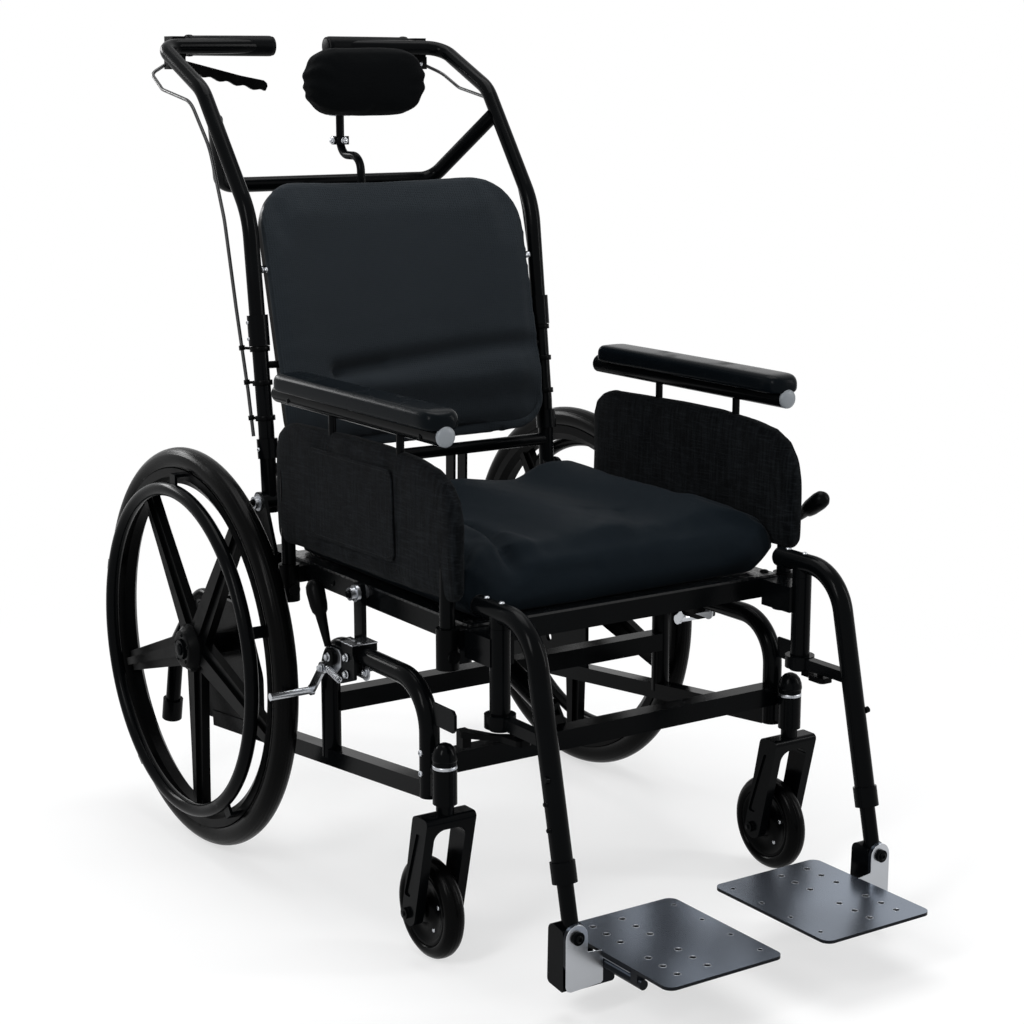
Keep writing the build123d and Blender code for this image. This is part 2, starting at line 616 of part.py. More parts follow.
def back_crossbar():
    """Lower bar between the canes with the lug that the recline spring pushes."""
    z = 528.0
    y = -49.0
    shape = rod((-CANE_X, y, z), (CANE_X, y, z), 9)
    eye_y, eye_z = RECLINE_SPRING_EYE
    shape += ears(RECLINE_SPRING_X, [(y - 9, z), (eye_y - 9, eye_z - 10), (eye_y + 11, eye_z - 10),
                                     (y + 12, z)], [1, 8, 8, 1], RECLINE_SPRING_EYE)
    for cane in both(back_cane()):
        shape -= cane
    return shape.solids().sort_by(SortBy.VOLUME)[-1]


BACK_PLANE = Plane(origin=(0, BACK_FOOT_Y, BACK_FOOT_Z), x_dir=(1, 0, 0),
                   z_dir=(0, sin(radians(BACK_SLOPE)), cos(radians(BACK_SLOPE))))


def back_section(front_depth, rear_depth, wing):
    """Crosswise slice of the back between two shallow arcs, extruded up past both its ends."""
    half = BACK_HALF + 4
    front = ThreePointArc((-half, wing), (0, front_depth), (half, wing))
    rear = ThreePointArc((half, wing + 16), (0, rear_depth), (-half, wing + 16))
    face = make_face([front, Line((half, wing), (half, wing + 16)), rear,
                      Line((-half, wing + 16), (-half, wing))])
    return extrude(BACK_PLANE.offset(-10) * face, amount=BACK_HEIGHT + 20)


def back_blank(inset):
    """Front-view outline of the back, as a thick block square to its slope."""
    half = BACK_HALF - inset
    face = outline([(-half, inset), (half, inset), (half, BACK_HEIGHT - inset),
                    (-half, BACK_HEIGHT - inset)], [45, 45, 72, 72])
    upright = Plane(origin=BACK_PLANE.origin, x_dir=(1, 0, 0), z_dir=-BACK_PLANE.y_dir)
    return extrude(upright * face, amount=150, both=True)


def back_cushion():
    """Foam pad that follows the shell: hollow across, crowned up its height."""
    pad = back_section(34, 62, 0) & back_blank(0)
    low, high = -5, BACK_HEIGHT + 5
    crown = ThreePointArc((14, low), (-3, BACK_HEIGHT / 2), (14, high))
    face = make_face([crown, Line((14, high), (140, high)), Line((140, high), (140, low)),
                      Line((140, low), (14, low))])
    side = Plane(origin=(-300, BACK_FOOT_Y, BACK_FOOT_Z), x_dir=BACK_PLANE.y_dir, z_dir=(1, 0, 0))
    return pad & extrude(side * face, amount=600)


def back_shell():
    """Moulded shell behind the pad, hung on four studs from the canes."""
    shape = back_section(62.3, 68.3, 16.3) & back_blank(3)
    for z in (672, 800):
        shell_y = BACK_FOOT_Y + (z - BACK_FOOT_Z) * tan(radians(BACK_SLOPE)) + 26
        for sign in (1, -1):
            shape += rod((sign * (BACK_HALF - 5), shell_y, z), (sign * CANE_X, cane_y(z), z), 5)
    for cane in both(back_cane()):
        shape -= cane
    return shape.solids().sort_by(SortBy.VOLUME)[-1]


def handgrip():
    """Soft grip over the end of a handle tube."""
    grip = rod((GRIP_INNER_X, GRIP_Y, GRIP_Z), (GRIP_OUTER_X, GRIP_Y, GRIP_Z), GRIP_R)
    return grip - back_cane()


LEVER_PIVOT = (204.0, 271.0, 1076.0)


def lever_housing():
    """Clamp under the handle's root that carries the release lever and its cable."""
    x, y, z = LEVER_PIVOT
    shape = block((193, 214), (y - 14, y + 14), (GRIP_Z - 16, GRIP_Z + 13))
    shape += block((x - 12, x + 14), (y - 10, y + 8), (z - 8, GRIP_Z - 15))
    shape -= block((x - 40, x + 8.5), (y - 4.3, y + 4.3), (z - 20, z + 10))
    shape += rod((x, y - 11, z), (x, y + 9, z), 3)
    return shape - back_cane()


def release_lever():
    """Squeeze lever under the grip, with finger grooves on its lower edge."""
    x, y, z = LEVER_PIVOT
    blade = plate_xz([(x + 6, z + 6), (x - 8, z + 5), (GRIP_INNER_X + 14, 1052), (GRIP_INNER_X + 12, 1038),
                      (x - 26, z - 14), (x + 6, z - 6)], [4, 20, 5, 5, 20, 4], (y - 4, y + 4))
    for i in range(4):
        groove_x = x - 52 - 22 * i
        blade -= rod((groove_x, y - 6, 1022 + 2.2 * (4 - i)), (groove_x, y + 6, 1022 + 2.2 * (4 - i)), 17)
    return blade - rod((x, y - 6, z), (x, y + 6, z), 3 + PIN_PLAY)


CABLE_ROUTE = [(221, 271, 1074), (246, 262, 1062), (250, 218, 1040), (249, 128, 1024), (248, 74, 962),
               (247.5, 35, 866), (247.5, 6, 747), (247.5, -24, 636), (247.5, -37, 575)]
CABLE_BENDS = [18, 30, 45, 90, 150, 200, 250]


def release_cable():
    """Sheathed cable clipped down the outside of the cane."""
    return tube(CABLE_ROUTE, 2.5, CABLE_BENDS)


# ---------------------------------------------------------------- headrest
STEM_ROUTE = [(0, 90, 790), (0, 90, 945), (0, 150, 945), (0, 150, 1003)]
HEAD_STEM_R = 6.0
HEAD_PIVOT = (0.0, 150.0, 1010.0)
HEAD_PAD = (0.0, 76.0, 1050.5)
HEAD_WIDTH = 195.0
HEAD_HEIGHT = 95.0
HEAD_DEPTH = 62.0


def headrest_receiver():
    """Clamp block behind the shell, with the bore that the stem slides in."""
    x, y = STEM_ROUTE[0][0], STEM_ROUTE[0][1]
    shape = block((-19, 19), (20, y), (838, 884)) + post(x, y, (838, 884), 13)
    shape += block((-32, 32), (20, 62), (832, 890))
    shape -= back_section(-60, 68.4, 16.3)
    shape = shape.solids().sort_by(Axis.Y)[-1]
    shape += rod((x, y + 8, 861), (x, y + 24, 861), 7)
    return shape - post(x, y, (830, 890), HEAD_STEM_R + PIN_PLAY)


def headrest_stem():
    """Cranked stem with a clamp joint on top for the pad's arm."""
    shape = tube(STEM_ROUTE, HEAD_STEM_R, [22, 22])
    x, y, z = HEAD_PIVOT
    shape += post(x, y, (960, 972), 13) + drum((x - 9, x + 9), y, z, 9)
    return shape + drum((x - 16, x + 16), y, z, 5)


def headrest_pad():
    """Pillow of the headrest, with rounded edges all round."""
    x, y, z = HEAD_PAD
    half = HEAD_WIDTH / 2
    low, high = z - HEAD_HEIGHT / 2, z + HEAD_HEIGHT / 2
    pad = plate_xz([(-half, low), (half, low), (half, high), (-half, high)], [44, 44, 44, 44],
                   (y - HEAD_DEPTH / 2, y + HEAD_DEPTH / 2))
    rims = pad.faces().sort_by(Axis.Y)
    return fillet(rims[0].edges() + rims[-1].edges(), 22)


def headrest_arm():
    """Two cheeks that turn on the stem's joint and carry the pad's backing plate."""
    y, z = HEAD_PIVOT[1], HEAD_PIVOT[2]
    pad_back = HEAD_PAD[1] + HEAD_DEPTH / 2
    shape = block((-24, 24), (pad_back - 6, pad_back + 16), (z + 14, z + 60)) - headrest_pad()
    shape = shape.solids().sort_by(Axis.Y)[-1]
    for x in (-14, 9.5):
        cheek = plate_yz([(pad_back + 12, z + 20), (pad_back + 12, z + 48), (y + 9, z + 8), (y + 8, z - 9),
                          (y - 10, z - 9)], [1, 6, 8, 8, 8], (x, x + 4.5))
        shape += cheek
    return shape - drum((-30, 30), y, z, 5 + PIN_PLAY)


# ---------------------------------------------------------------- hangers and footplates
def hanger_direction():
    """Unit vector down a hanger's slanted run, as Y and Z."""
    run = (HANGER_FOOT[0] - HANGER_KNEE_Y, HANGER_FOOT[1] - HANGER_TOP_Z)
    length = hypot(*run)
    return run[0] / length, run[1] / length


def hanger_point(distance):
    """Point on the slanted run's centre line, measured down from its foot."""
    direction = hanger_direction()
    return (HANGER_X, HANGER_FOOT[0] + direction[0] * distance, HANGER_FOOT[1] + direction[1] * distance)


def hanger_tube():
    """Bent hanger with its hinge pin, lower ring and foot collar."""
    shape = tube([(HANGER_X, -585, HANGER_TOP_Z), (HANGER_X, HANGER_KNEE_Y, HANGER_TOP_Z),
                  hanger_point(0)], TUBE_R, [62])
    shape += rod(hanger_point(-25), hanger_point(0), 15)
    shape += post(HANGER_X, HANGER_POST_Y, (432.3, HANGER_TOP_Z), 12.5)
    shape += post(HANGER_X, HANGER_POST_Y, (396, HANGER_TOP_Z), 8)
    shape += post(HANGER_X, HANGER_POST_Y, (312, 328), 19)
    shape += block((HANGER_X - 7, HANGER_X + 7), (-722, HANGER_POST_Y - 14), (313, 327))
    shape -= post(HANGER_X, HANGER_POST_Y, (290, 388), HANGER_POST_R + 0.3)
    shape += rod((HANGER_X + 10, -742, 280), (HANGER_X + 15, -742, 281), 4)
    shape += post(LATCH_PIVOT[0], LATCH_PIVOT[1], (302, 314), 4)
    return shape - rod(hanger_point(-190), hanger_point(5), EXTENSION_R + PIN_PLAY)


LATCH_PIVOT = (HANGER_X, -668.0)


def hanger_latch():
    """Flat lever under the hanger's arm that hooks the post and reaches out to the hand."""
    x, y = LATCH_PIVOT
    shape = plate_xy([(x - 10, y - 14), (x + 10, y - 14), (x + 14, y + 16), (278, -612), (268, -592),
                      (x + 13.5, -640), (x - 10, y + 12)], [6, 6, 10, 6, 6, 20, 6], (302, 309))
    shape += block((262, 274), (-612, -598), (288, 309))
    shape -= post(x, HANGER_POST_Y, (280, 320), HANGER_POST_R + 0.6)
    return shape - post(x, y, (300, 312), 4 + PIN_PLAY)


def extension_tube():
    """Telescoping inner tube with the hinge block and pivot bolt at its foot."""
    shape = rod(hanger_point(-120), hanger_point(62), EXTENSION_R)
    shape -= block((HANGER_X - 20, HANGER_X + 20), (FOOT_PIVOT_Y - 20, FOOT_PIVOT_Y), (60, 160))
    x = FOOT_PIVOT_X
    shape += plate_yz([(FOOT_PIVOT_Y, 38), (FOOT_PIVOT_Y, 112), (FOOT_PIVOT_Y + 30, 118),
                       (FOOT_PIVOT_Y + 32, 42)], [3, 6, 10, 6], (x - 15, x + 15))
    return shape + rod((x, FOOT_PIVOT_Y + 4, FOOT_PIVOT_Z), (x, FOOT_PIVOT_Y - 10, FOOT_PIVOT_Z), 5) + rod(
        (x, FOOT_PIVOT_Y - 5.4, FOOT_PIVOT_Z), (x, FOOT_PIVOT_Y - 10, FOOT_PIVOT_Z), 8)


HOLE_ROWS = (22.0, 48.5, 76.0, 129.0, 156.0, 182.0)
LARGE_COLUMNS = (123.5, 166.5)
SMALL_COLUMNS = (46.0, 182.0)
LARGE_HOLE_R = 3.6
SMALL_HOLE_R = 2.6


def footplate():
    """Drilled plate on an angled bracket that turns about the hinge block's bolt."""
    bottom = PLATE_TOP_Z - PLATE_THICK
    shape = plate_xy([(PLATE_INNER_X, PLATE_REAR_Y), (PLATE_OUTER_X, PLATE_REAR_Y),
                      (PLATE_OUTER_X, PLATE_FRONT_Y), (PLATE_INNER_X, PLATE_FRONT_Y)],
                     [12, 12, 12, 12], (bottom, PLATE_TOP_Z))
    for row in HOLE_ROWS:
        for x in LARGE_COLUMNS:
            shape -= post(x, PLATE_REAR_Y - row, (bottom - 1, PLATE_TOP_Z + 1), LARGE_HOLE_R)
    for row in (HOLE_ROWS[0], HOLE_ROWS[2], HOLE_ROWS[3], HOLE_ROWS[5]):
        shape -= post(SMALL_COLUMNS[0], PLATE_REAR_Y - row, (bottom - 1, PLATE_TOP_Z + 1), SMALL_HOLE_R)
    x = FOOT_PIVOT_X
    plane_y = (FOOT_PIVOT_Y - 5.2, FOOT_PIVOT_Y - 0.3)
    bracket = plate_xz([(x - 15, FOOT_PIVOT_Z + 15), (x + 15, FOOT_PIVOT_Z + 15), (x + 15, 70), (x - 4, 40),
                        (PLATE_OUTER_X - 20, 40), (PLATE_OUTER_X - 20, bottom), (x - 15, bottom)],
                       [14.5, 14.5, 12, 6, 4, 1, 1], plane_y)
    bracket -= rod((x, FOOT_PIVOT_Y + 5, FOOT_PIVOT_Z), (x, FOOT_PIVOT_Y - 20, FOOT_PIVOT_Z), 5 + PIN_PLAY)
    flange = block((PLATE_OUTER_X - 52, PLATE_OUTER_X - 2), (FOOT_PIVOT_Y - 57, FOOT_PIVOT_Y - 0.3),
                   (bottom - 4, bottom))
    spine = rod((PLATE_OUTER_X - 9, FOOT_PIVOT_Y - 75, 62), (PLATE_OUTER_X - 9, FOOT_PIVOT_Y + 48, 62), 6)
    clips = block((PLATE_OUTER_X - 15, PLATE_OUTER_X - 3), (FOOT_PIVOT_Y - 70, FOOT_PIVOT_Y - 58), (60, bottom))
    clips += block((PLATE_OUTER_X - 15, PLATE_OUTER_X - 3), (FOOT_PIVOT_Y + 30, FOOT_PIVOT_Y + 44),
                   (60, bottom))
    return shape + bracket + flange + spine + clips


# ---------------------------------------------------------------- gas springs
def spring_body(x, foot, eye, length):
    """Cylinder of a gas spring on a necked foot eye, lying along the line from foot to rod eye."""
    shape = rod((x, *along(foot, eye, 18)), (x, *along(foot, eye, length)), SPRING_BODY_R)
    shape += rod((x, *foot), (x, *along(foot, eye, 20)), 7) + drum((x - 7, x + 7), *foot, 11)
    bore_start = along(foot, eye, 40)
    bore_end = along(foot, eye, length + 5)
    shape -= rod((x, *bore_start), (x, *bore_end), SPRING_ROD_R + PIN_PLAY)
    return shape - drum((x - 20, x + 20), *foot, SPRING_PIN_R + PIN_PLAY)


def spring_rod(x, foot, eye, insertion, hole_r, eye_r):
    """Piston rod with its eye, whose wide hole is the open pivot of the linkage."""
    total = hypot(eye[0] - foot[0], eye[1] - foot[1])
    start = along(foot, eye, insertion)
    end = along(foot, eye, total - eye_r + 3)
    shape = rod((x, *start), (x, *end), SPRING_ROD_R) + drum((x - 7, x + 7), *eye, eye_r)
    return shape - drum((x - 20, x + 20), *eye, hole_r)


def tilt_spring_mount():
    """Ears and pin behind the front crossbar that carry the tilt spring's foot."""
    y, z = TILT_SPRING_FOOT
    bar_rear = FRONT_BAR_Y + SQUARE / 2
    return ears(TILT_SPRING_X, [(bar_rear, FRONT_BAR_Z - 10), (bar_rear, FRONT_BAR_Z + 12), (y - 4, z + 11),
                                (y + 11, z + 10), (y + 11, z - 12)], [1, 4, 8, 9, 8], TILT_SPRING_FOOT)


# ---------------------------------------------------------------- write every node
os.makedirs("parts", exist_ok=True)

write("base_arches", both(arch()))
write("base_rails", both(lower_rail()) + [crossbar(FRONT_BAR_Y, FRONT_BAR_Z) + tilt_spring_mount(),
                                         crossbar(REAR_LEG_Y - 1, REAR_BAR_Z)])
write("caster_housings", both(caster_housing()))
write("axle_plates", both(axle_plate()))
write("wheel_axles", both(wheel_axle()))
write("tilt_posts", both(tilt_post()))
write("anti_tippers", [piece for shape in anti_tipper() for piece in both(shape)])
write("lock_brackets", both(lock_bracket()))

for name, side in SIDES.items():
    write(f"tyre_{name}", [on_side(tyre(), side)])
    write(f"mag_wheel_{name}", [on_side(mag_wheel(), side)])
    write(f"handrim_{name}", [on_side(handrim(), side)])
    write(f"caster_fork_{name}", [on_side(caster_fork(), side)])
    write(f"caster_wheel_{name}", [on_side(caster_wheel(), side)])
    write(f"arm_rail_{name}", [on_side(arm_rail(), side)])
    write(f"armpad_{name}", [on_side(armpad(), side)])
    write(f"hanger_tube_{name}", [on_side(hanger_tube(), side)])
    write(f"hanger_latch_{name}", [on_side(hanger_latch(), side)])
    write(f"extension_tube_{name}", [on_side(extension_tube(), side)])
    write(f"footplate_{name}", [on_side(footplate(), side)])
    write(f"release_lever_{name}", [on_side(release_lever(), side)])

write("wheel_lock_lever_right", [on_side(lock_lever(98, -16), -1)])
write("wheel_lock_lever_left", [on_side(lock_lever(292, LONG_LEVER_TURN), 1)])
write("wheel_lock_shoe_right", [on_side(lock_shoe(0), -1)])
write("wheel_lock_shoe_left", [on_side(lock_shoe(SHOE_STROKE), 1)])

write("seat_frame", seat_frame() + seat_lugs())
write("seat_pan", [seat_pan()])
write("seat_cushion", [seat_cushion()])
write("arm_sockets", arm_sockets())
write("arm_frames", both(arm_frame()))
write("side_panels", both(side_panel()))
write("hanger_posts", both(hanger_post()))
write("back_brackets", both(back_bracket()))
write("pivot_bolts", pivot_bolts())

write("back_canes", both(back_cane()))
write("push_crossbar", [push_crossbar()])
write("back_crossbar", [back_crossbar()])
write("back_shell", [back_shell()])
write("back_cushion", [back_cushion()])
write("handgrips", both(handgrip()))
write("lever_housings", both(lever_housing()))
write("release_cables", both(release_cable()))

write("headrest_receiver", [headrest_receiver()])
write("headrest_stem", [headrest_stem()])
write("headrest_pad", [headrest_pad() + headrest_arm()])

write("tilt_cylinder", [spring_body(TILT_SPRING_X, TILT_SPRING_FOOT, TILT_SPRING_EYE, 185)])
write("tilt_rod", [spring_rod(TILT_SPRING_X, TILT_SPRING_FOOT, TILT_SPRING_EYE, 110, 7, 11.5)])
write("recline_cylinder", [spring_body(RECLINE_SPRING_X, RECLINE_SPRING_FOOT, RECLINE_SPRING_EYE, 230)])
write("recline_rod", [spring_rod(RECLINE_SPRING_X, RECLINE_SPRING_FOOT, RECLINE_SPRING_EYE, 120, 9, 13)])
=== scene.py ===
"""Tilt-in-space wheelchair: finishes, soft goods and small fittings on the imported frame.

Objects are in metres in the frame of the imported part, where X points to the occupant's left, the
front faces -Y and Z is up. Sizes of fittings are given in millimetres about the rear axle, which
at() turns into places in that frame.
"""

import json
import logging
import math
from dataclasses import dataclass, field
from enum import Enum
from typing import Any, Callable, Iterable, Sequence

import bmesh
import bpy
from mathutils import Matrix, Vector
from mathutils.noise import noise

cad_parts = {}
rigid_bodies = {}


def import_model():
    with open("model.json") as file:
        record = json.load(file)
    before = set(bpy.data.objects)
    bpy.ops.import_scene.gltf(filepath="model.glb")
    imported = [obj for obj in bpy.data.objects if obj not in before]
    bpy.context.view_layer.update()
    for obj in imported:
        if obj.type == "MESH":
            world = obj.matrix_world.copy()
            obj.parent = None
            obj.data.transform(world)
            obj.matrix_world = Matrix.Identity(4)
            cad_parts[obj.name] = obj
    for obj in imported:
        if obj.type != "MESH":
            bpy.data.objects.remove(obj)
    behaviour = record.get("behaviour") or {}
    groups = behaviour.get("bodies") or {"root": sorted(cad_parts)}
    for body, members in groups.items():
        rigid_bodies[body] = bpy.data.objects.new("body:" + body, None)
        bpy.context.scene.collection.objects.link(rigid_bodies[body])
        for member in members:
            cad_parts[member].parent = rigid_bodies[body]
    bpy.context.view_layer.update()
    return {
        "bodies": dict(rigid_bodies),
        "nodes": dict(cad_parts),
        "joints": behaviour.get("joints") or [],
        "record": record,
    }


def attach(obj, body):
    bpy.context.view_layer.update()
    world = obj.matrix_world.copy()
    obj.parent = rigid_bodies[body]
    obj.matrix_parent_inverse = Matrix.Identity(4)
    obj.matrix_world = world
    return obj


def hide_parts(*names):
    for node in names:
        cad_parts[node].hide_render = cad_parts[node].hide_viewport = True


LOG = logging.getLogger("wheelchair")
REAR_AXLE_Y = 314.5
SIDES = {"left": 1.0, "right": -1.0}
Triple = tuple[float, float, float]
Colour = tuple[float, float, float, float]
Pair = tuple[float, float]
Spot = tuple[Vector, Triple, float]
Fitting = Callable[[], bpy.types.Object]


def at(x: float, y: float, z: float) -> Vector:
    """Millimetres about the rear axle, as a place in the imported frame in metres."""
    return Vector((x, y + REAR_AXLE_Y, z)) / 1000


# ------------------------------------------------------------------ node trees
class Signal:
    """An output socket whose arithmetic adds Math nodes to its tree."""

    def __init__(self, tree: "Tree", socket: bpy.types.NodeSocket) -> None:
        """Wrap a socket of a tree."""
        self.tree = tree
        self.socket = socket

    def _math(self, operation: str, *terms: Any) -> "Signal":
        """Add a Math node over the terms."""
        return self.tree.node("ShaderNodeMath", {"operation": operation}, dict(enumerate(terms)))

    def __add__(self, other: Any) -> "Signal":
        """Sum."""
        return self._math("ADD", self, other)

    def __radd__(self, other: Any) -> "Signal":
        """Sum, with the signal on the right."""
        return self._math("ADD", other, self)

    def __sub__(self, other: Any) -> "Signal":
        """Difference."""
        return self._math("SUBTRACT", self, other)

    def __rsub__(self, other: Any) -> "Signal":
        """Difference, with the signal on the right."""
        return self._math("SUBTRACT", other, self)

    def __mul__(self, other: Any) -> "Signal":
        """Product."""
        return self._math("MULTIPLY", self, other)

    def __rmul__(self, other: Any) -> "Signal":
        """Product, with the signal on the right."""
        return self._math("MULTIPLY", other, self)

    def sine(self) -> "Signal":
        """Sine of the signal, in radians."""
        return self._math("SINE", self)

    def largest(self, other: Any) -> "Signal":
        """The larger of two signals."""
        return self._math("MAXIMUM", self, other)

    def step(self, low: float, high: float) -> "Signal":
        """Smooth step from 0 at low to 1 at high."""
        return self.tree.node("ShaderNodeMapRange", {"interpolation_type": "SMOOTHSTEP"},
                              {"Value": self, "From Min": low, "From Max": high})


class Tree:
    """Adds nodes to a shader or geometry tree."""

    def __init__(self, tree: bpy.types.NodeTree) -> None:
        """Work on a node tree."""
        self.tree = tree

    def node(self, kind: str, settings: dict[str, Any] | None = None,
             inputs: dict[Any, Any] | None = None, output: Any = 0) -> Signal:
        """Add one node.

        Args:
            kind: Blender's type of the node.
            settings: Properties that are set first; "stops" are a ramp's places and colours.
            inputs: Values or signals by the name or index of the socket.
            output: Name or index of the socket to return.

        Returns:
            The chosen output as a signal.
        """
        made = self.tree.nodes.new(kind)
        for name, value in (settings or {}).items():
            if name == "stops":
                self._stops(made, value)
            else:
                setattr(made, name, value)
        for key, value in (inputs or {}).items():
            if isinstance(value, Signal):
                self.tree.links.new(value.socket, made.inputs[key])
            else:
                made.inputs[key].default_value = value
        return Signal(self, made.outputs[output])

    @staticmethod
    def _stops(ramp: bpy.types.Node, stops: Sequence[tuple[float, Colour]]) -> None:
        """Set the places and colours of a ramp.

        Args:
            ramp: The ramp node.
            stops: Place and colour of two or more stops.
        """
        for _ in stops[2:]:
            ramp.color_ramp.elements.new(0.5)
        for element, (place, colour) in zip(ramp.color_ramp.elements, stops):
            element.position = place
            element.color = colour


class Shader(Tree):
    """A material under construction."""

    def __init__(self, name: str) -> None:
        """Start an empty material, with its Object coordinates.

        Args:
            name: Name of the material.
        """
        self.material = bpy.data.materials.new(name)
        self.material.use_nodes = True
        self.material.node_tree.nodes.clear()
        super().__init__(self.material.node_tree)
        self.place = self.node("ShaderNodeTexCoord", output="Object")

    def stretched(self, scale: Triple) -> Signal:
        """Object coordinates scaled by an amount for each axis."""
        return self.node("ShaderNodeMapping", None, {"Vector": self.place, "Scale": scale})

    def axis(self, index: int) -> Signal:
        """One of the object coordinates."""
        return self.node("ShaderNodeSeparateXYZ", None, {"Vector": self.place}, index)

    def grain(self, scale: float, detail: float = 3.0, place: Signal | None = None) -> Signal:
        """Noise from 0 to 1."""
        return self.node("ShaderNodeTexNoise", None,
                         {"Vector": place or self.place, "Scale": scale, "Detail": detail}, "Fac")

    def mix(self, factor: Any, first: Any, second: Any) -> Signal:
        """Colour between two colours."""
        return self.node("ShaderNodeMix", {"data_type": "RGBA"},
                         {"Factor": factor, 6: first, 7: second}, 2)

    def bump(self, height: Signal, depth: float, under: Signal | None = None) -> Signal:
        """Normal for a height of up to depth metres, over another bump if given.

        Args:
            height: Height from 0 to 1.
            depth: What a height of 1 is, in metres.
            under: A bump below this one.

        Returns:
            The bent normal.
        """
        inputs = {"Height": height, "Distance": depth, "Strength": 1.0}
        if under is not None:
            inputs["Normal"] = under
        return self.node("ShaderNodeBump", None, inputs)

    def close(self, **inputs: Any) -> bpy.types.Material:
        """Join the Principled shader to the output.

        Args:
            inputs: Sockets of the shader, with underscores for the blanks in their names.

        Returns:
            The finished material.
        """
        named = {key.replace("_", " "): value for key, value in inputs.items()}
        shader = self.node("ShaderNodeBsdfPrincipled", None, named)
        self.node_out(shader)
        return self.material

    def node_out(self, shader: Signal) -> None:
        """Link a shader to the material's output."""
        out = self.tree.nodes.new("ShaderNodeOutputMaterial")
        self.tree.links.new(shader.socket, out.inputs["Surface"])


def grey(value: float, blue: float = 1.0) -> Colour:
    """A near-neutral colour, with its blue scaled."""
    return (value, value * (1 + (blue - 1) / 2), value * blue, 1.0)


def shaded(tone: Colour, share: float) -> Colour:
    """A colour scaled by a share."""
    return tuple(channel * share for channel in tone[:3]) + (1.0,)


# ------------------------------------------------------------------ finishes
class Finish(Enum):
    """The finishes of the chair."""

    FRAME = "black_frame_paint"
    PLASTIC = "black_moulded_plastic"
    TYRE = "tyre_rubber"
    GRIP = "grip_rubber"
    STEEL = "bright_plated_steel"
    SKIN = "armrest_skin"
    PLATE = "satin_footplate"
    ZINC = "plain_zinc_steel"
    SHEATH = "cable_sheath"
    MESH = "spacer_mesh_fabric"
    COVER = "stretch_seat_cover"
    PANEL = "woven_panel_fabric"
    KNIT = "headrest_knit"
    PAN = "hammered_pan_paint"
    CAP = "grey_end_cap"
    THREAD = "sewing_thread"


SLOTS: dict[Finish, str] = {Finish.FRAME: "black_frame", Finish.PLASTIC: "black_plastic",
                            Finish.STEEL: "bright_steel", Finish.ZINC: "plain_steel"}


@dataclass(frozen=True)
class Paint:
    """Gloss powder coat with a faint orange peel and a film of dust."""

    name: str
    tone: Colour = grey(0.0011, 1.5)
    roughness: float = 0.16
    peel: float = 0.00003
    specular: float = 0.035
    scale: float = 240.0

    def material(self) -> bpy.types.Material:
        """Build the material.

        Returns:
            The finished material.
        """
        s = Shader(self.name)
        dust = s.grain(9.0, 5.0).step(0.45, 0.75)
        tone = s.mix(dust * 0.5, self.tone, shaded(self.tone, 1.8))
        rough = self.roughness + 0.12 * dust + 0.05 * s.grain(60.0)
        peel = s.bump(s.grain(self.scale, 2.0), self.peel)
        return s.close(Base_Color=tone, Roughness=rough, Normal=peel,
                       Specular_IOR_Level=self.specular)


@dataclass(frozen=True)
class Moulding:
    """Moulded plastic or rubber with a fine spark-eroded grain."""

    name: str
    tone: Colour = grey(0.0008, 1.3)
    roughness: float = 0.28
    grain: float = 0.00004
    scale: float = 1400.0
    specular: float = 0.03
    scuffs: float = 0.5

    def material(self) -> bpy.types.Material:
        """Build the material.

        Returns:
            The finished material.
        """
        s = Shader(self.name)
        scuff = s.grain(22.0, 6.0).step(0.52, 0.72)
        tone = s.mix(scuff * self.scuffs, self.tone, shaded(self.tone, 2.2))
        rough = self.roughness + 0.15 * scuff + 0.06 * s.grain(160.0)
        grain = s.bump(s.grain(self.scale, 2.0), self.grain)
        return s.close(Base_Color=tone, Roughness=rough, Normal=grain,
                       Specular_IOR_Level=self.specular)


@dataclass(frozen=True)
class Rubber:
    """Tyre rubber with fine ribs round the tread."""

    name: str
    tone: Colour = grey(0.0008, 1.2)
    pitch: float = 0.0042

    def material(self) -> bpy.types.Material:
        """Build the material.

        Returns:
            The finished material.
        """
        s = Shader(self.name)
        ribs = (s.axis(0) * (2 * math.pi / self.pitch)).sine().step(-0.2, 0.5)
        dust = s.grain(14.0, 5.0).step(0.4, 0.8)
        tone = s.mix(dust * 0.5, self.tone, grey(0.0022, 1.0))
        rough = 0.22 + 0.14 * dust
        fine = s.bump(s.grain(900.0, 2.0), 0.00004)
        return s.close(Base_Color=tone, Roughness=rough, Normal=s.bump(ribs, 0.00012, fine),
                       Specular_IOR_Level=0.035)


@dataclass(frozen=True)
class Metal:
    """Plated or brushed metal."""

    name: str
    tone: Colour
    roughness: float = 0.2
    brushing: Triple = (40.0, 40.0, 40.0)
    depth: float = 0.00001
    metallic: float = 1.0

    def material(self) -> bpy.types.Material:
        """Build the material.

        Returns:
            The finished material.
        """
        s = Shader(self.name)
        lines = s.grain(12.0, 4.0, s.stretched(self.brushing))
        cloud = s.grain(6.0, 3.0).step(0.35, 0.7)
        tone = s.mix(cloud * 0.45, self.tone, shaded(self.tone, 0.72))
        rough = self.roughness + 0.1 * lines + 0.07 * cloud
        return s.close(Base_Color=tone, Roughness=rough, Metallic=self.metallic,
                       Normal=s.bump(lines, self.depth))


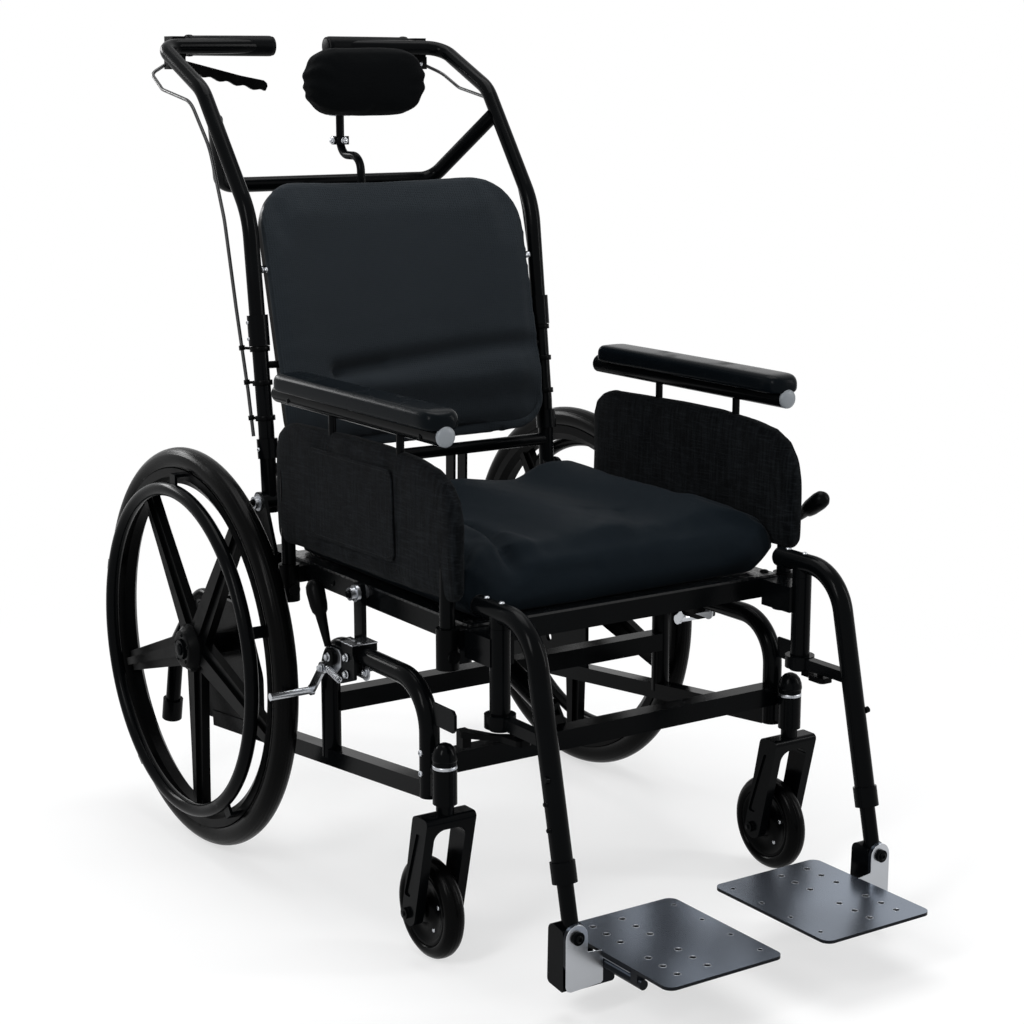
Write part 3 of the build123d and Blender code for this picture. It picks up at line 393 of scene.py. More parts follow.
@dataclass(frozen=True)
class Anodised:
    """Satin anodised plate with painted shade: faces that don't face up are near black and not
    metallic.
    """

    name: str
    tone: Colour = (0.235, 0.275, 0.34, 1.0)
    # edge is painted shade: the near-black colour given to the plate's sides and undersides.
    edge: Colour = (0.006, 0.007, 0.009, 1.0)
    roughness: float = 0.17

    def material(self) -> bpy.types.Material:
        """Build the material.

        Returns:
            The finished material.
        """
        s = Shader(self.name)
        facing = s.node("ShaderNodeTexCoord", output="Normal")
        up = s.node("ShaderNodeSeparateXYZ", None, {"Vector": facing}, 2)
        cloud = s.grain(3.2, 2.0).step(0.3, 0.7)
        brushed = s.grain(14.0, 3.0, s.stretched((60.0, 2.0, 60.0)))
        # Large random clouding of the top's tone, partly a painted stand-in for its uneven reflection.
        top = s.mix(cloud, self.tone, shaded(self.tone, 0.62))
        # Painted light and shade by facing: upward faces keep the metallic tone, all others get the
        # edge shade.
        lit_top_mask = up.step(0.6, 0.95)
        painted_light_and_shade = s.mix(lit_top_mask, self.edge, top)
        return s.close(Base_Color=painted_light_and_shade, Roughness=self.roughness + 0.06 * brushed + 0.05 * cloud,
                       Metallic=0.95 * lit_top_mask, Normal=s.bump(brushed, 0.000003), Specular_IOR_Level=0.05)


@dataclass(frozen=True)
class Weave:
    """Plain woven cloth, with streaks along its warp."""

    name: str
    tone: Colour
    highlight: Colour
    pitch: float = 0.0011
    depth: float = 0.00016
    sheen: float = 0.015

    def material(self) -> bpy.types.Material:
        """Build the material.

        Returns:
            The finished material.
        """
        s = Shader(self.name)
        turn = 2 * math.pi / self.pitch
        warp = (s.axis(1) * turn).sine()
        weft = (s.axis(2) * turn).sine()
        threads = (warp * weft).step(-0.9, 0.9)
        streak = s.grain(10.0, 5.0, s.stretched((12.0, 26.0, 2.6))).step(0.38, 0.66)
        slub = s.grain(10.0, 3.0, s.stretched((12.0, 4.0, 60.0))).step(0.45, 0.7)
        tone = s.mix((streak * 0.6 + slub * 0.55) * (0.35 + 0.65 * threads), self.tone, self.highlight)
        height = threads + streak * 0.9 + slub * 0.6
        return s.close(Base_Color=tone, Roughness=0.78 + 0.16 * streak,
                       Normal=s.bump(height, self.depth), Sheen_Weight=self.sheen,
                       Sheen_Roughness=0.5, Specular_IOR_Level=0.02)


@dataclass(frozen=True)
class SpacerMesh:
    """Open spacer mesh: rows of small holes, offset by half a pitch in every other row."""

    name: str
    tone: Colour
    hole: Colour
    pitch: float = 0.0036
    depth: float = 0.0004
    slope: float = 13.9

    def material(self) -> bpy.types.Material:
        """Build the material.

        Returns:
            The finished material.
        """
        s = Shader(self.name)
        turn = 2 * math.pi / self.pitch
        across = s.axis(0) * turn
        up = s.axis(2) * (turn * 1.155 / math.cos(math.radians(self.slope)))
        first = (across * 1.0).sine() * (up * 0.75).sine()
        second = (across * 0.5 + up * 0.65).sine() * (across * 0.5 - up * 0.65).sine()
        holes = (first * 0.5 + second).step(0.15, 0.75)
        cloud = s.grain(5.0, 4.0).step(0.3, 0.75)
        knit = s.grain(1100.0, 2.0)
        tone = s.mix(holes * 0.7, self.tone, self.hole)
        rough = 0.8 + 0.12 * cloud
        under = s.bump(knit, 0.00012)
        return s.close(Base_Color=tone, Roughness=rough, Normal=s.bump(1.0 - holes, self.depth, under),
                       Sheen_Weight=0.03, Sheen_Roughness=0.45, Specular_IOR_Level=0.05)


@dataclass(frozen=True)
class Jersey:
    """Smooth stretch cover with a fine knit and soft clouding."""

    name: str
    tone: Colour
    highlight: Colour
    roughness: float = 0.55
    pitch: float = 0.00075
    depth: float = 0.00005
    sheen: float = 0.02
    crumple: float = 0.0

    def material(self) -> bpy.types.Material:
        """Build the material.

        Returns:
            The finished material.
        """
        s = Shader(self.name)
        turn = 2 * math.pi / self.pitch
        knit = ((s.axis(0) * turn).sine() * ((s.axis(1) + s.axis(2)) * turn).sine()).step(-0.8, 0.8)
        cloud = s.grain(4.5, 4.0).step(0.3, 0.75)
        tone = s.mix(cloud * 0.6 + knit * 0.15, self.tone, self.highlight)
        normal = s.bump(knit, self.depth)
        if self.crumple:
            normal = s.bump(s.grain(26.0, 4.0), self.crumple, normal)
        return s.close(Base_Color=tone, Roughness=self.roughness + 0.12 * cloud, Normal=normal,
                       Sheen_Weight=self.sheen, Sheen_Roughness=0.4, Specular_IOR_Level=0.015)


def palette() -> dict[Finish, bpy.types.Material]:
    """Build every finish once.

    Returns:
        The material of each finish.
    """
    recipes = [
        Paint(Finish.FRAME.value),
        Paint(Finish.PAN.value, roughness=0.16, peel=0.0012, scale=190.0, specular=0.3),
        Moulding(Finish.PLASTIC.value),
        Moulding(Finish.GRIP.value, grey(0.0012, 1.5), roughness=0.36, specular=0.03, scuffs=0.3),
        Moulding(Finish.SKIN.value, grey(0.0021, 2.0), roughness=0.2, grain=0.00002, scale=520.0,
                 specular=0.03, scuffs=0.0),
        Moulding(Finish.SHEATH.value, grey(0.012, 1.1), roughness=0.25, specular=0.4, scuffs=0.3),
        Moulding(Finish.CAP.value, grey(0.17, 1.18), roughness=0.4, specular=0.4, scuffs=0.1),
        Moulding(Finish.THREAD.value, grey(0.006, 1.2), roughness=0.7, specular=0.1),
        Rubber(Finish.TYRE.value),
        Metal(Finish.STEEL.value, (0.46, 0.475, 0.5, 1.0), 0.14),
        Anodised(Finish.PLATE.value),
        Metal(Finish.ZINC.value, (0.42, 0.435, 0.46, 1.0), 0.24, (20.0, 20.0, 60.0)),
        Weave(Finish.PANEL.value, grey(0.0014, 1.6), grey(0.0105, 1.35)),
        SpacerMesh(Finish.MESH.value, grey(0.0155, 1.5), grey(0.005, 1.3)),
        Jersey(Finish.COVER.value, grey(0.0036, 2.2), grey(0.0054, 2.0)),
        Jersey(Finish.KNIT.value, grey(0.0016, 1.3), grey(0.0026, 1.3), 0.75, crumple=0.0006),
    ]
    return {Finish(recipe.name): recipe.material() for recipe in recipes}


# ------------------------------------------------------------------ meshes
def smooth_shaded(mesh: bpy.types.Mesh) -> None:
    """Shade every face of a mesh smooth."""
    for face in mesh.polygons:
        face.use_smooth = True


def new_piece(name: str, mesh: bpy.types.Mesh, smooth: bool = True) -> bpy.types.Object:
    """Link a mesh to the scene as an object at the origin.

    Args:
        name: Name of the piece.
        mesh: Its mesh.
        smooth: Whether its faces are shaded smooth.

    Returns:
        The piece.
    """
    piece = bpy.data.objects.new(name, mesh)
    bpy.context.scene.collection.objects.link(piece)
    if smooth:
        smooth_shaded(mesh)
    return piece


def from_bmesh(name: str, bm: bmesh.types.BMesh, smooth: bool = True) -> bpy.types.Object:
    """Turn a bmesh into a piece, with its doubles merged and its faces outwards.

    Args:
        name: Name of the piece.
        bm: The bmesh, which is freed.
        smooth: Whether its faces are shaded smooth.

    Returns:
        The piece.
    """
    bmesh.ops.remove_doubles(bm, verts=bm.verts, dist=1e-6)
    bmesh.ops.recalc_face_normals(bm, faces=bm.faces)
    mesh = bpy.data.meshes.new(name)
    bm.to_mesh(mesh)
    bm.free()
    return new_piece(name, mesh, smooth)


def baked(piece: bpy.types.Object) -> bpy.types.Object:
    """Apply every modifier of a piece, or the bevel of a curve, and keep its name.

    Args:
        piece: The object, which is taken out of the scene.

    Returns:
        A plain mesh in its place.
    """
    graph = bpy.context.evaluated_depsgraph_get()
    mesh = bpy.data.meshes.new_from_object(piece.evaluated_get(graph))
    name = piece.name
    bpy.data.objects.remove(piece)
    return new_piece(name, mesh, smooth=False)


def softened(piece: bpy.types.Object, width: float) -> bpy.types.Object:
    """Round the edges of a piece that are sharper than 35 degrees, and bake it.

    Args:
        piece: The piece, which the new one replaces.
        width: Width of the rounding in metres.

    Returns:
        The rounded piece.
    """
    bevel = piece.modifiers.new("rounding", "BEVEL")
    bevel.width = width
    bevel.segments = 2
    bevel.limit_method = "ANGLE"
    bevel.angle_limit = math.radians(35.0)
    bevel.harden_normals = True
    smooth_shaded(piece.data)
    return baked(piece)


def joined(name: str, pieces: Sequence[bpy.types.Object]) -> bpy.types.Object:
    """Merge several bare pieces into one.

    Args:
        name: Name of the piece.
        pieces: The pieces, which are taken out of the scene.

    Returns:
        The merged piece.
    """
    mesh = bpy.data.meshes.new(name)
    bm = bmesh.new()
    for piece in pieces:
        bm.from_mesh(piece.data)
        bpy.data.objects.remove(piece)
    bm.to_mesh(mesh)
    bm.free()
    return new_piece(name, mesh, smooth=False)


def frame_of(origin: Vector, axis: Vector) -> Matrix:
    """Matrix whose Z points along an axis, with its origin at a place."""
    turn = axis.normalized().to_track_quat("Z", "Y").to_matrix().to_4x4()
    return Matrix.Translation(origin) @ turn


def standing(x: float, sign: float = 1.0) -> Matrix:
    """Frame of a plate that stands along the chair at an X in millimetres, drawn as Y and Z."""
    across = Matrix(((0, 0, 1, 0), (1, 0, 0, 0), (0, 1, 0, 0), (0, 0, 0, 1)))
    return Matrix.Translation(at(sign * x, 0, 0)) @ Matrix.Diagonal((sign, 1, 1, 1)) @ across


def upright(place: Vector, sign: float = 1.0) -> Matrix:
    """Frame of a plate that stands across the chair, drawn as X and Z, with its thickness forwards."""
    turn = Matrix.Rotation(math.radians(90), 4, "X")
    return Matrix.Translation(place) @ Matrix.Diagonal((sign, 1, 1, 1)) @ turn


def arc(centre: Pair, radius: float, angles: Iterable[float]) -> list[Pair]:
    """Points of a circle at some angles in degrees."""
    return [(centre[0] + radius * math.cos(math.radians(a)),
             centre[1] + radius * math.sin(math.radians(a))) for a in angles]


def mirrored(half: Sequence[Pair], top: Pair) -> list[Pair]:
    """Profile that runs up one half, over its top point and down the other half."""
    return [*half, top, *((radius, -height) for radius, height in reversed(half))]


def bridged(bm: bmesh.types.BMesh, rings: Sequence[Sequence[bmesh.types.BMVert]]) -> None:
    """Lay a band of faces between each ring and the next.

    Args:
        bm: The bmesh that gets the faces.
        rings: Rings of equally many points.
    """
    count = len(rings[0])
    for low, high in zip(rings, rings[1:]):
        for i in range(count):
            bm.faces.new((low[i], low[(i + 1) % count], high[(i + 1) % count], high[i]))


def turned(name: str, profile: Sequence[Pair], origin: Vector, axis: Vector,
           sides: int = 48) -> bpy.types.Object:
    """Turn a profile about an axis.

    Args:
        name: Name of the piece.
        profile: (radius, height) points in millimetres; a radius of 0 closes an end.
        origin: Foot of the axis in metres.
        axis: Direction of the axis.
        sides: Number of facets round the axis.

    Returns:
        The closed piece.
    """
    bm = bmesh.new()
    place = frame_of(origin, axis)
    rings: list[list[bmesh.types.BMVert]] = []
    for radius, height in profile:
        count = 1 if radius <= 0 else sides
        angles = (2 * math.pi * i / sides for i in range(count))
        points = (Vector((radius * math.cos(a), radius * math.sin(a), height)) / 1000 for a in angles)
        rings.append([bm.verts.new(place @ point) for point in points])
    for low, high in zip(rings, rings[1:]):
        for i in range(sides):
            corners = [low[i % len(low)], low[(i + 1) % len(low)],
                       high[(i + 1) % len(high)], high[i % len(high)]]
            unique = list(dict.fromkeys(corners))
            if len(unique) > 2:
                bm.faces.new(unique)
    for ring in (rings[0], rings[-1]):
        if len(ring) > 1:
            bm.faces.new(ring)
    return from_bmesh(name, bm)


def rounded_ring(half_x: float, half_y: float, radii: Sequence[float],
                 steps: int = 8) -> list[Pair]:
    """Outline of a rounded rectangle, in order round it.

    Args:
        half_x: Half its width.
        half_y: Half its length.
        radii: Corner radii from the (+, +) corner, anticlockwise.
        steps: Points of each corner, less one.

    Returns:
        The points of the outline.
    """
    points = []
    for (sx, sy), radius, start in zip(((1, 1), (-1, 1), (-1, -1), (1, -1)), radii, (0, 90, 180, 270)):
        for i in range(steps + 1):
            a = math.radians(start + 90 * i / steps)
            points.append((sx * (half_x - radius) + radius * math.cos(a),
                           sy * (half_y - radius) + radius * math.sin(a)))
    return points


def lofted(name: str, rings: Sequence[Sequence[Vector]]) -> bpy.types.Object:
    """Join rings of points, each as long as the next, and close both ends.

    Args:
        name: Name of the piece.
        rings: The rings, in metres.

    Returns:
        The closed piece.
    """
    bm = bmesh.new()
    made = [[bm.verts.new(point) for point in ring] for ring in rings]
    bridged(bm, made)
    bm.faces.new(made[0])
    bm.faces.new(made[-1])
    return from_bmesh(name, bm)


def slab(name: str, corners: Sequence[Pair], thickness: float, place: Matrix,
         rounding: float = 0.6) -> bpy.types.Object:
    """Flat plate cut to an outline.

    Args:
        name: Name of the piece.
        corners: Outline in millimetres, in the plate's own plane.
        thickness: Thickness in millimetres, along the plate's Z.
        place: Where the plate's own frame is, in metres.
        rounding: Width of its rounded edges in millimetres.

    Returns:
        The plate.
    """
    bm = bmesh.new()
    for height in (0.0, thickness):
        for x, y in corners:
            bm.verts.new(place @ (Vector((x, y, height)) / 1000))
    bm.verts.ensure_lookup_table()
    count = len(corners)
    low, high = bm.verts[:count], bm.verts[count:]
    bm.faces.new(low)
    bm.faces.new(high)
    bridged(bm, [low, high])
    return softened(from_bmesh(name, bm), rounding / 1000)


def copy_of(frame: dict, node: str, name: str) -> bpy.types.Object:
    """Merged copy of a CAD node's mesh.

    Args:
        frame: The loaded frame.
        node: Name of the CAD node.
        name: Name of the piece.

    Returns:
        The copy.
    """
    bm = bmesh.new()
    bm.from_mesh(frame["nodes"][node].data)
    bmesh.ops.remove_doubles(bm, verts=bm.verts, dist=1e-5)
    return from_bmesh(name, bm)


# ------------------------------------------------------------------ repeated fittings
class Pattern(Tree):
    """A Geometry Nodes tree with named inputs, which is run on one mesh and then baked."""

    def __init__(self, name: str) -> None:
        """Start an empty tree, with its geometry input and output.

        Args:
            name: Name of the tree.
        """
        super().__init__(bpy.data.node_groups.new(name, "GeometryNodeTree"))
        self.tree.interface.new_socket("Geometry", in_out="OUTPUT", socket_type="NodeSocketGeometry")
        self.named: dict[str, bpy.types.NodeTreeInterfaceSocket] = {}
        self.add_input("Geometry", "NodeSocketGeometry")
        self.start = self.tree.nodes.new("NodeGroupInput")

    def add_input(self, name: str, kind: str) -> None:
        """Add a named input."""
        self.named[name] = self.tree.interface.new_socket(name, in_out="INPUT", socket_type=kind)

    def given(self, name: str) -> Signal:
        """An input as a signal."""
        return Signal(self, self.start.outputs[name])

    def end(self, geometry: Signal) -> None:
        """Close the tree with Realize Instances and Set Material.

        Args:
            geometry: The instances.
        """
        real = self.node("GeometryNodeRealizeInstances", None, {"Geometry": geometry})
        dressed = self.node("GeometryNodeSetMaterial", None,
                            {"Geometry": real, "Material": self.given("Material")})
        out = self.tree.nodes.new("NodeGroupOutput")
        self.tree.links.new(dressed.socket, out.inputs[0])

    def run(self, name: str, base: bpy.types.Mesh, **values: Any) -> bpy.types.Object:
        """Run the tree.

        Args:
            name: Name of the new piece.
            base: The mesh that the tree starts from.
            values: Its inputs by name, with underscores for blanks.

        Returns:
            A plain mesh.
        """
        piece = new_piece(name, base, smooth=False)
        modifier = piece.modifiers.new("pattern", "NODES")
        modifier.node_group = self.tree
        for key, value in values.items():
            modifier[self.named[key.replace("_", " ")].identifier] = value
        return baked(piece)


class Scatter(Pattern):
    """Sets one fitting at every point, turned to the point's facing and scaled by its size."""

    def __init__(self) -> None:
        """Draw the tree."""
        super().__init__("scattered_fittings")
        self.add_input("Fitting", "NodeSocketObject")
        self.add_input("Material", "NodeSocketMaterial")
        fitting = self.node("GeometryNodeObjectInfo", None, {"Object": self.given("Fitting")},
                            "Geometry")
        facing = self.node("GeometryNodeInputNamedAttribute", {"data_type": "FLOAT_VECTOR"},
                           {"Name": "facing"})
        size = self.node("GeometryNodeInputNamedAttribute", {"data_type": "FLOAT"}, {"Name": "size"})
        turn = self.node("FunctionNodeAlignRotationToVector", {"axis": "Z"}, {"Vector": facing})
        placed = self.node("GeometryNodeInstanceOnPoints", None,
                           {"Points": self.given("Geometry"), "Instance": fitting,
                            "Rotation": turn, "Scale": size})
        self.end(placed)

    def set_at(self, name: str, spots: Sequence[tuple[Vector, Vector, float]],
               fitting: bpy.types.Object, material: bpy.types.Material) -> bpy.types.Object:
        """Place a fitting.

        Args:
            name: Name of the new piece.
            spots: Place, outward direction and scale of each one.
            fitting: The fitting, drawn about the origin with its head along Z.
            material: Its finish.

        Returns:
            All of them as one mesh.
        """
        mesh = bpy.data.meshes.new(name)
        mesh.from_pydata([spot[0] for spot in spots], [], [])
        facing = mesh.attributes.new("facing", "FLOAT_VECTOR", "POINT")
        facing.data.foreach_set("vector", [c for spot in spots for c in spot[1]])
        size = mesh.attributes.new("size", "FLOAT", "POINT")
        size.data.foreach_set("value", [spot[2] for spot in spots])
        return self.run(name, mesh, Fitting=fitting, Material=material)


class Stitching(Pattern):
    """Lays short stitches end to end along a line of edges."""

    def __init__(self) -> None:
        """Draw the tree."""
        super().__init__("stitch_line")
        self.add_input("Pitch", "NodeSocketFloat")
        self.add_input("Radius", "NodeSocketFloat")
        self.add_input("Material", "NodeSocketMaterial")
        line = self.node("GeometryNodeMeshToCurve", None, {"Mesh": self.given("Geometry")})
        spaced = self.node("GeometryNodeResampleCurve", {"mode": "LENGTH"},
                           {"Curve": line, "Length": self.given("Pitch")})
        tangent = self.node("GeometryNodeInputTangent")
        turn = self.node("FunctionNodeAlignRotationToVector", {"axis": "X"}, {"Vector": tangent})
        bead = self.node("GeometryNodeMeshUVSphere", None,
                         {"Segments": 6, "Rings": 5, "Radius": self.given("Radius")})
        long = self.node("GeometryNodeTransform", None, {"Geometry": bead, "Scale": (3.4, 1.0, 1.0)})
        placed = self.node("GeometryNodeInstanceOnPoints", None,
                           {"Points": spaced, "Instance": long, "Rotation": turn})
        self.end(placed)

    def sew(self, name: str, points: Sequence[Vector], pitch: float, radius: float,
            material: bpy.types.Material, closed: bool = False) -> bpy.types.Object:
        """Stitch along a line of points, all sizes in metres.

        Args:
            name: Name of the piece.
            points: Points of the line.
            pitch: Distance from stitch to stitch.
            radius: Radius of the thread.
            material: Its finish.
            closed: Whether the line closes.

        Returns:
            The stitches as one mesh.
        """
        mesh = bpy.data.meshes.new(name)
        count = len(points)
        edges = [(i, (i + 1) % count) for i in range(count if closed else count - 1)]
        mesh.from_pydata(list(points), edges, [])
        return self.run(name, mesh, Pitch=pitch, Radius=radius, Material=material)


class Coil(Pattern):
    """Winds a wire spring along Z from the origin."""

    def __init__(self) -> None:
        """Draw the tree."""
        super().__init__("coil_spring")
        for name in ("Turns", "Radius", "Height", "Wire"):
            self.add_input(name, "NodeSocketFloat")
        self.add_input("Material", "NodeSocketMaterial")
        radius = self.given("Radius")
        spiral = self.node("GeometryNodeCurveSpiral", None,
                           {"Resolution": 20, "Rotations": self.given("Turns"), "Start Radius": radius,
                            "End Radius": radius, "Height": self.given("Height")})
        section = self.node("GeometryNodeCurvePrimitiveCircle", None,
                            {"Resolution": 8, "Radius": self.given("Wire")})
        wire = self.node("GeometryNodeCurveToMesh", None,
                         {"Curve": spiral, "Profile Curve": section, "Fill Caps": True})
        smooth = self.node("GeometryNodeSetShadeSmooth", None, {0: wire})
        self.end(smooth)

    def wind(self, name: str, turns: float, radius: float, wire: float, start: Vector, end: Vector,
             material: bpy.types.Material) -> bpy.types.Object:
        """Wind a spring from one point to another, all sizes in metres.

        Args:
            name: Name of the piece.
            turns: Number of turns.
            radius: Radius of the coil.
            wire: Radius of the wire.
            start: Its first end.
            end: Its other end.
            material: Its finish.

        Returns:
            The spring.
        """
        base = bpy.data.meshes.new(name)
        spring = self.run(name, base, Turns=turns, Radius=radius, Height=(end - start).length,
                          Wire=wire, Material=material)
        spring.data.transform(frame_of(start, end - start))
        return spring


# ------------------------------------------------------------------ soft goods
@dataclass(frozen=True)
class Stuffing:
    """How a padded piece is remeshed and swollen by a short cloth simulation."""

    voxel: float = 0.006
    pressure: float = 4.0
    most: float = 0.024
    frames: int = 20
    quality: int = 5
    mass: float = 0.3
    tension: float = 25.0
    shear: float = 12.0
    bending: float = 4.0

    def swell(self, piece: bpy.types.Object, held: Callable[[Vector], bool]) -> None:
        """Remesh a piece and let it swell, apart from the points that held() accepts.

        Args:
            piece: The padded piece, a closed mesh.
            held: Tells whether a point rests on something and stays.
        """
        piece.data.remesh_voxel_size = self.voxel
        with bpy.context.temp_override(object=piece, active_object=piece, selected_objects=[piece]):
            bpy.ops.object.voxel_remesh()
        rest = [v.co.copy() for v in piece.data.vertices]
        group = piece.vertex_groups.new(name="held")
        group.add([i for i, co in enumerate(rest) if held(co)], 1.0, "REPLACE")
        cloth = piece.modifiers.new("swelling", "CLOTH")
        settings = cloth.settings
        settings.quality = self.quality
        settings.mass = self.mass
        settings.tension_stiffness = settings.compression_stiffness = self.tension
        settings.shear_stiffness = self.shear
        settings.bending_stiffness = self.bending
        settings.use_pressure = True
        settings.uniform_pressure_force = self.pressure
        settings.effector_weights.gravity = 0.0
        settings.vertex_group_mass = "held"
        cloth.collision_settings.use_collision = False
        cloth.point_cache.frame_start = 1
        cloth.point_cache.frame_end = self.frames
        scene = bpy.context.scene
        for moment in range(1, self.frames + 1):
            scene.frame_set(moment)
        swollen = piece.evaluated_get(bpy.context.evaluated_depsgraph_get()).data
        moved = [v.co.copy() for v in swollen.vertices]
        piece.modifiers.remove(cloth)
        for vertex, start, end in zip(piece.data.vertices, rest, moved):
            shift = end - start
            if shift.length > self.most:
                shift *= self.most / shift.length
            vertex.co = start + shift
        scene.frame_set(1)


def relaxed(piece: bpy.types.Object, times: int) -> None:
    """Smooth a mesh in place.

    Args:
        piece: The piece, changed in place.
        times: Number of passes; each moves a point half the way to its neighbours.
    """
    bm = bmesh.new()
    bm.from_mesh(piece.data)
    for _ in range(times):
        bmesh.ops.smooth_vert(bm, verts=bm.verts, factor=0.5, use_axis_x=True, use_axis_y=True,
                              use_axis_z=True)
    bm.to_mesh(piece.data)
    bm.free()


def refined(piece: bpy.types.Object) -> bpy.types.Object:
    """Subdivide a piece smoothly once and bake it.

    Args:
        piece: The piece, which the new one replaces.

    Returns:
        The finer piece.
    """
    finer = piece.modifiers.new("refinement", "SUBSURF")
    finer.levels = finer.render_levels = 1
    smooth_shaded(piece.data)
    made = baked(piece)
    smooth_shaded(made.data)
    return made


def shaped(piece: bpy.types.Object, move: Callable[[Vector, Vector], Vector]) -> None:
    """Move every vertex by what move() gives for its place and normal, in metres.

    Args:
        piece: The piece, changed in place.
        move: Gives the shift for a place and a normal.
    """
    piece.data.update()
    shifts = [move(v.co, v.normal) for v in piece.data.vertices]
    for vertex, shift in zip(piece.data.vertices, shifts):
        vertex.co += shift


@dataclass
class Workshop:
    """What every sub-assembly shares: the frame, the finishes and the repeating patterns."""

    frame: dict
    finishes: dict[Finish, bpy.types.Material]
    scatter: Scatter = field(default_factory=Scatter)
    stitching: Stitching = field(default_factory=Stitching)
    coil: Coil = field(default_factory=Coil)
    fittings: dict[Fitting, bpy.types.Object] = field(default_factory=dict)

    def place(self, piece: bpy.types.Object, body: str, finish: Finish | None, slot: str = "",
              replaces: Iterable[str] = ()) -> None:
        """Dress a piece and let it ride on a body.

        Args:
            piece: The piece.
            body: Name of the CAD body.
            finish: Its finish, or None where the mesh has its own materials.
            slot: Not used.
            replaces: CAD nodes that it stands for.
        """
        if finish is not None:
            piece.data.materials.clear()
            piece.data.materials.append(self.finishes[finish])
        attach(piece, body)
        slot or SLOTS[finish]
        for node in replaces:
            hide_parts(node)
        LOG.info("%s rides on %s, %d faces", piece.name, body, len(piece.data.polygons))

    def fitting(self, kind: Fitting) -> bpy.types.Object:
        """A small fitting drawn at the origin for the scatter tree, made once and kept out of sight.

        Args:
            kind: The function that makes it.

        Returns:
            The fitting.
        """
        if kind not in self.fittings:
            made = kind()
            made.hide_render = made.hide_viewport = True
            self.fittings[kind] = made
        return self.fittings[kind]

    def scattered(self, name: str, kind: Fitting, spots: Sequence[Spot], body: str, finish: Finish,
                  slot: str = "") -> None:
        """Scatter one fitting over spots of a body, all as one piece.

        Args:
            name: Name of the piece.
            kind: The function that makes the fitting.
            spots: Place, outward direction and scale of each one.
            body: Name of the CAD body.
            finish: Its finish.
            slot: The record's material slot, where it isn't the finish's usual one.
        """
        placed = [(where, Vector(facing).normalized(), size) for where, facing, size in spots]
        piece = self.scatter.set_at(name, placed, self.fitting(kind), self.finishes[finish])
        self.place(piece, body, None, slot or SLOTS[finish])


def bolt_circle(centre: Triple, radius: float, count: int, first: float, sign: float,
                size: float) -> list[Spot]:
    """Spots spaced evenly round a circle that faces sideways.

    Args:
        centre: Middle of the circle in millimetres.
        radius: Its radius in millimetres.
        count: Number of spots.
        first: Angle of the first one in degrees.
        sign: 1 where they face left, -1 where they face right.
        size: Scale of the fitting.

    Returns:
        The spots in order.
    """
    return [(at(centre[0], y, z), (sign, 0, 0), size)
            for y, z in arc(centre[1:], radius, (first + 360 / count * i for i in range(count)))]


def circle(bm: bmesh.types.BMesh, radius: float, height: float,
           hexagon: bool = False) -> list[bmesh.types.BMVert]:
    """Ring of 24 points about Z, in millimetres.

    Args:
        bm: The bmesh that gets the points.
        radius: Radius of the ring, or from the middle to a flat of the hexagon.
        height: Its height.
        hexagon: Whether the points lie on a hexagon.

    Returns:
        The points in order.
    """
    ring = []
    for i in range(24):
        a = math.radians(15 * i)
        reach = radius
        if hexagon:
            reach = radius / math.cos(((a + math.pi / 6) % (math.pi / 3)) - math.pi / 6)
        ring.append(bm.verts.new(Vector((reach * math.cos(a), reach * math.sin(a), height)) / 1000))
    return ring


def socket_screw() -> bpy.types.Object:
    """Button-head screw with a hexagon socket, 10 mm across.

    Returns:
        The screw.
    """
    bm = bmesh.new()
    rings = [circle(bm, radius, height)
             for radius, height in ((5.0, -0.6), (5.0, 0.4), (4.6, 1.6), (3.7, 2.4), (2.6, 2.8))]
    rings += [circle(bm, 1.7, height, True) for height in (2.8, 1.0)]
    bridged(bm, rings)
    bm.faces.new(rings[-1])
    bm.faces.new(rings[0])
    return from_bmesh("socket_screw", bm, smooth=False)


def hex_bolt() -> bpy.types.Object:
    """Hexagon nut on its washer, with the bolt's domed end, 13 mm across flats.

    Returns:
        The nut and its washer.
    """
    washer = turned("washer", [(0, -0.4), (9.0, -0.4), (9.0, 0.9), (8.6, 1.2), (0, 1.2)],
                    Vector(), Vector((0, 0, 1)), 32)
    nut = slab("nut", arc((0.0, 0.0), 7.5, range(0, 360, 60)), 5.4,
               Matrix.Translation(Vector((0, 0, 0.0012))), 0.5)
    end = turned("end", [(0, 5.0), (4.0, 5.0), (4.0, 7.4), (3.2, 8.2), (0, 8.6)], Vector(),
                 Vector((0, 0, 1)), 20)
    return joined("hex_bolt", [washer, nut, end])


def hole_rim() -> bpy.types.Object:
    """Bright countersunk edge of a hole, 9 mm across and level with its plate.

    Returns:
        The rim.
    """
    bm = bmesh.new()
    rings = [circle(bm, radius, height) for radius, height in
             ((3.56, -0.8), (4.25, 0.08), (4.5, 0.12), (4.62, 0.0), (4.62, -0.2), (3.56, -1.0))]
    bridged(bm, rings + rings[:1])
    return from_bmesh("hole_rim", bm)


def pan_head() -> bpy.types.Object:
    """Domed rivet head, 8 mm across."""
    return turned("pan_head", [(4.0, -0.5), (4.0, 0.4), (3.4, 1.3), (2.2, 1.9), (0, 2.1)], Vector(),
                  Vector((0, 0, 1)), 20)


def snap_button() -> bpy.types.Object:
    """Spring button that stands out of a tube's hole, 7 mm across."""
    profile = [(4.6, -0.6), (4.6, 0.5), (3.5, 0.6), (3.4, 2.2), (2.4, 3.2), (0, 3.5)]
    return turned("snap_button", profile, Vector(), Vector((0, 0, 1)), 20)


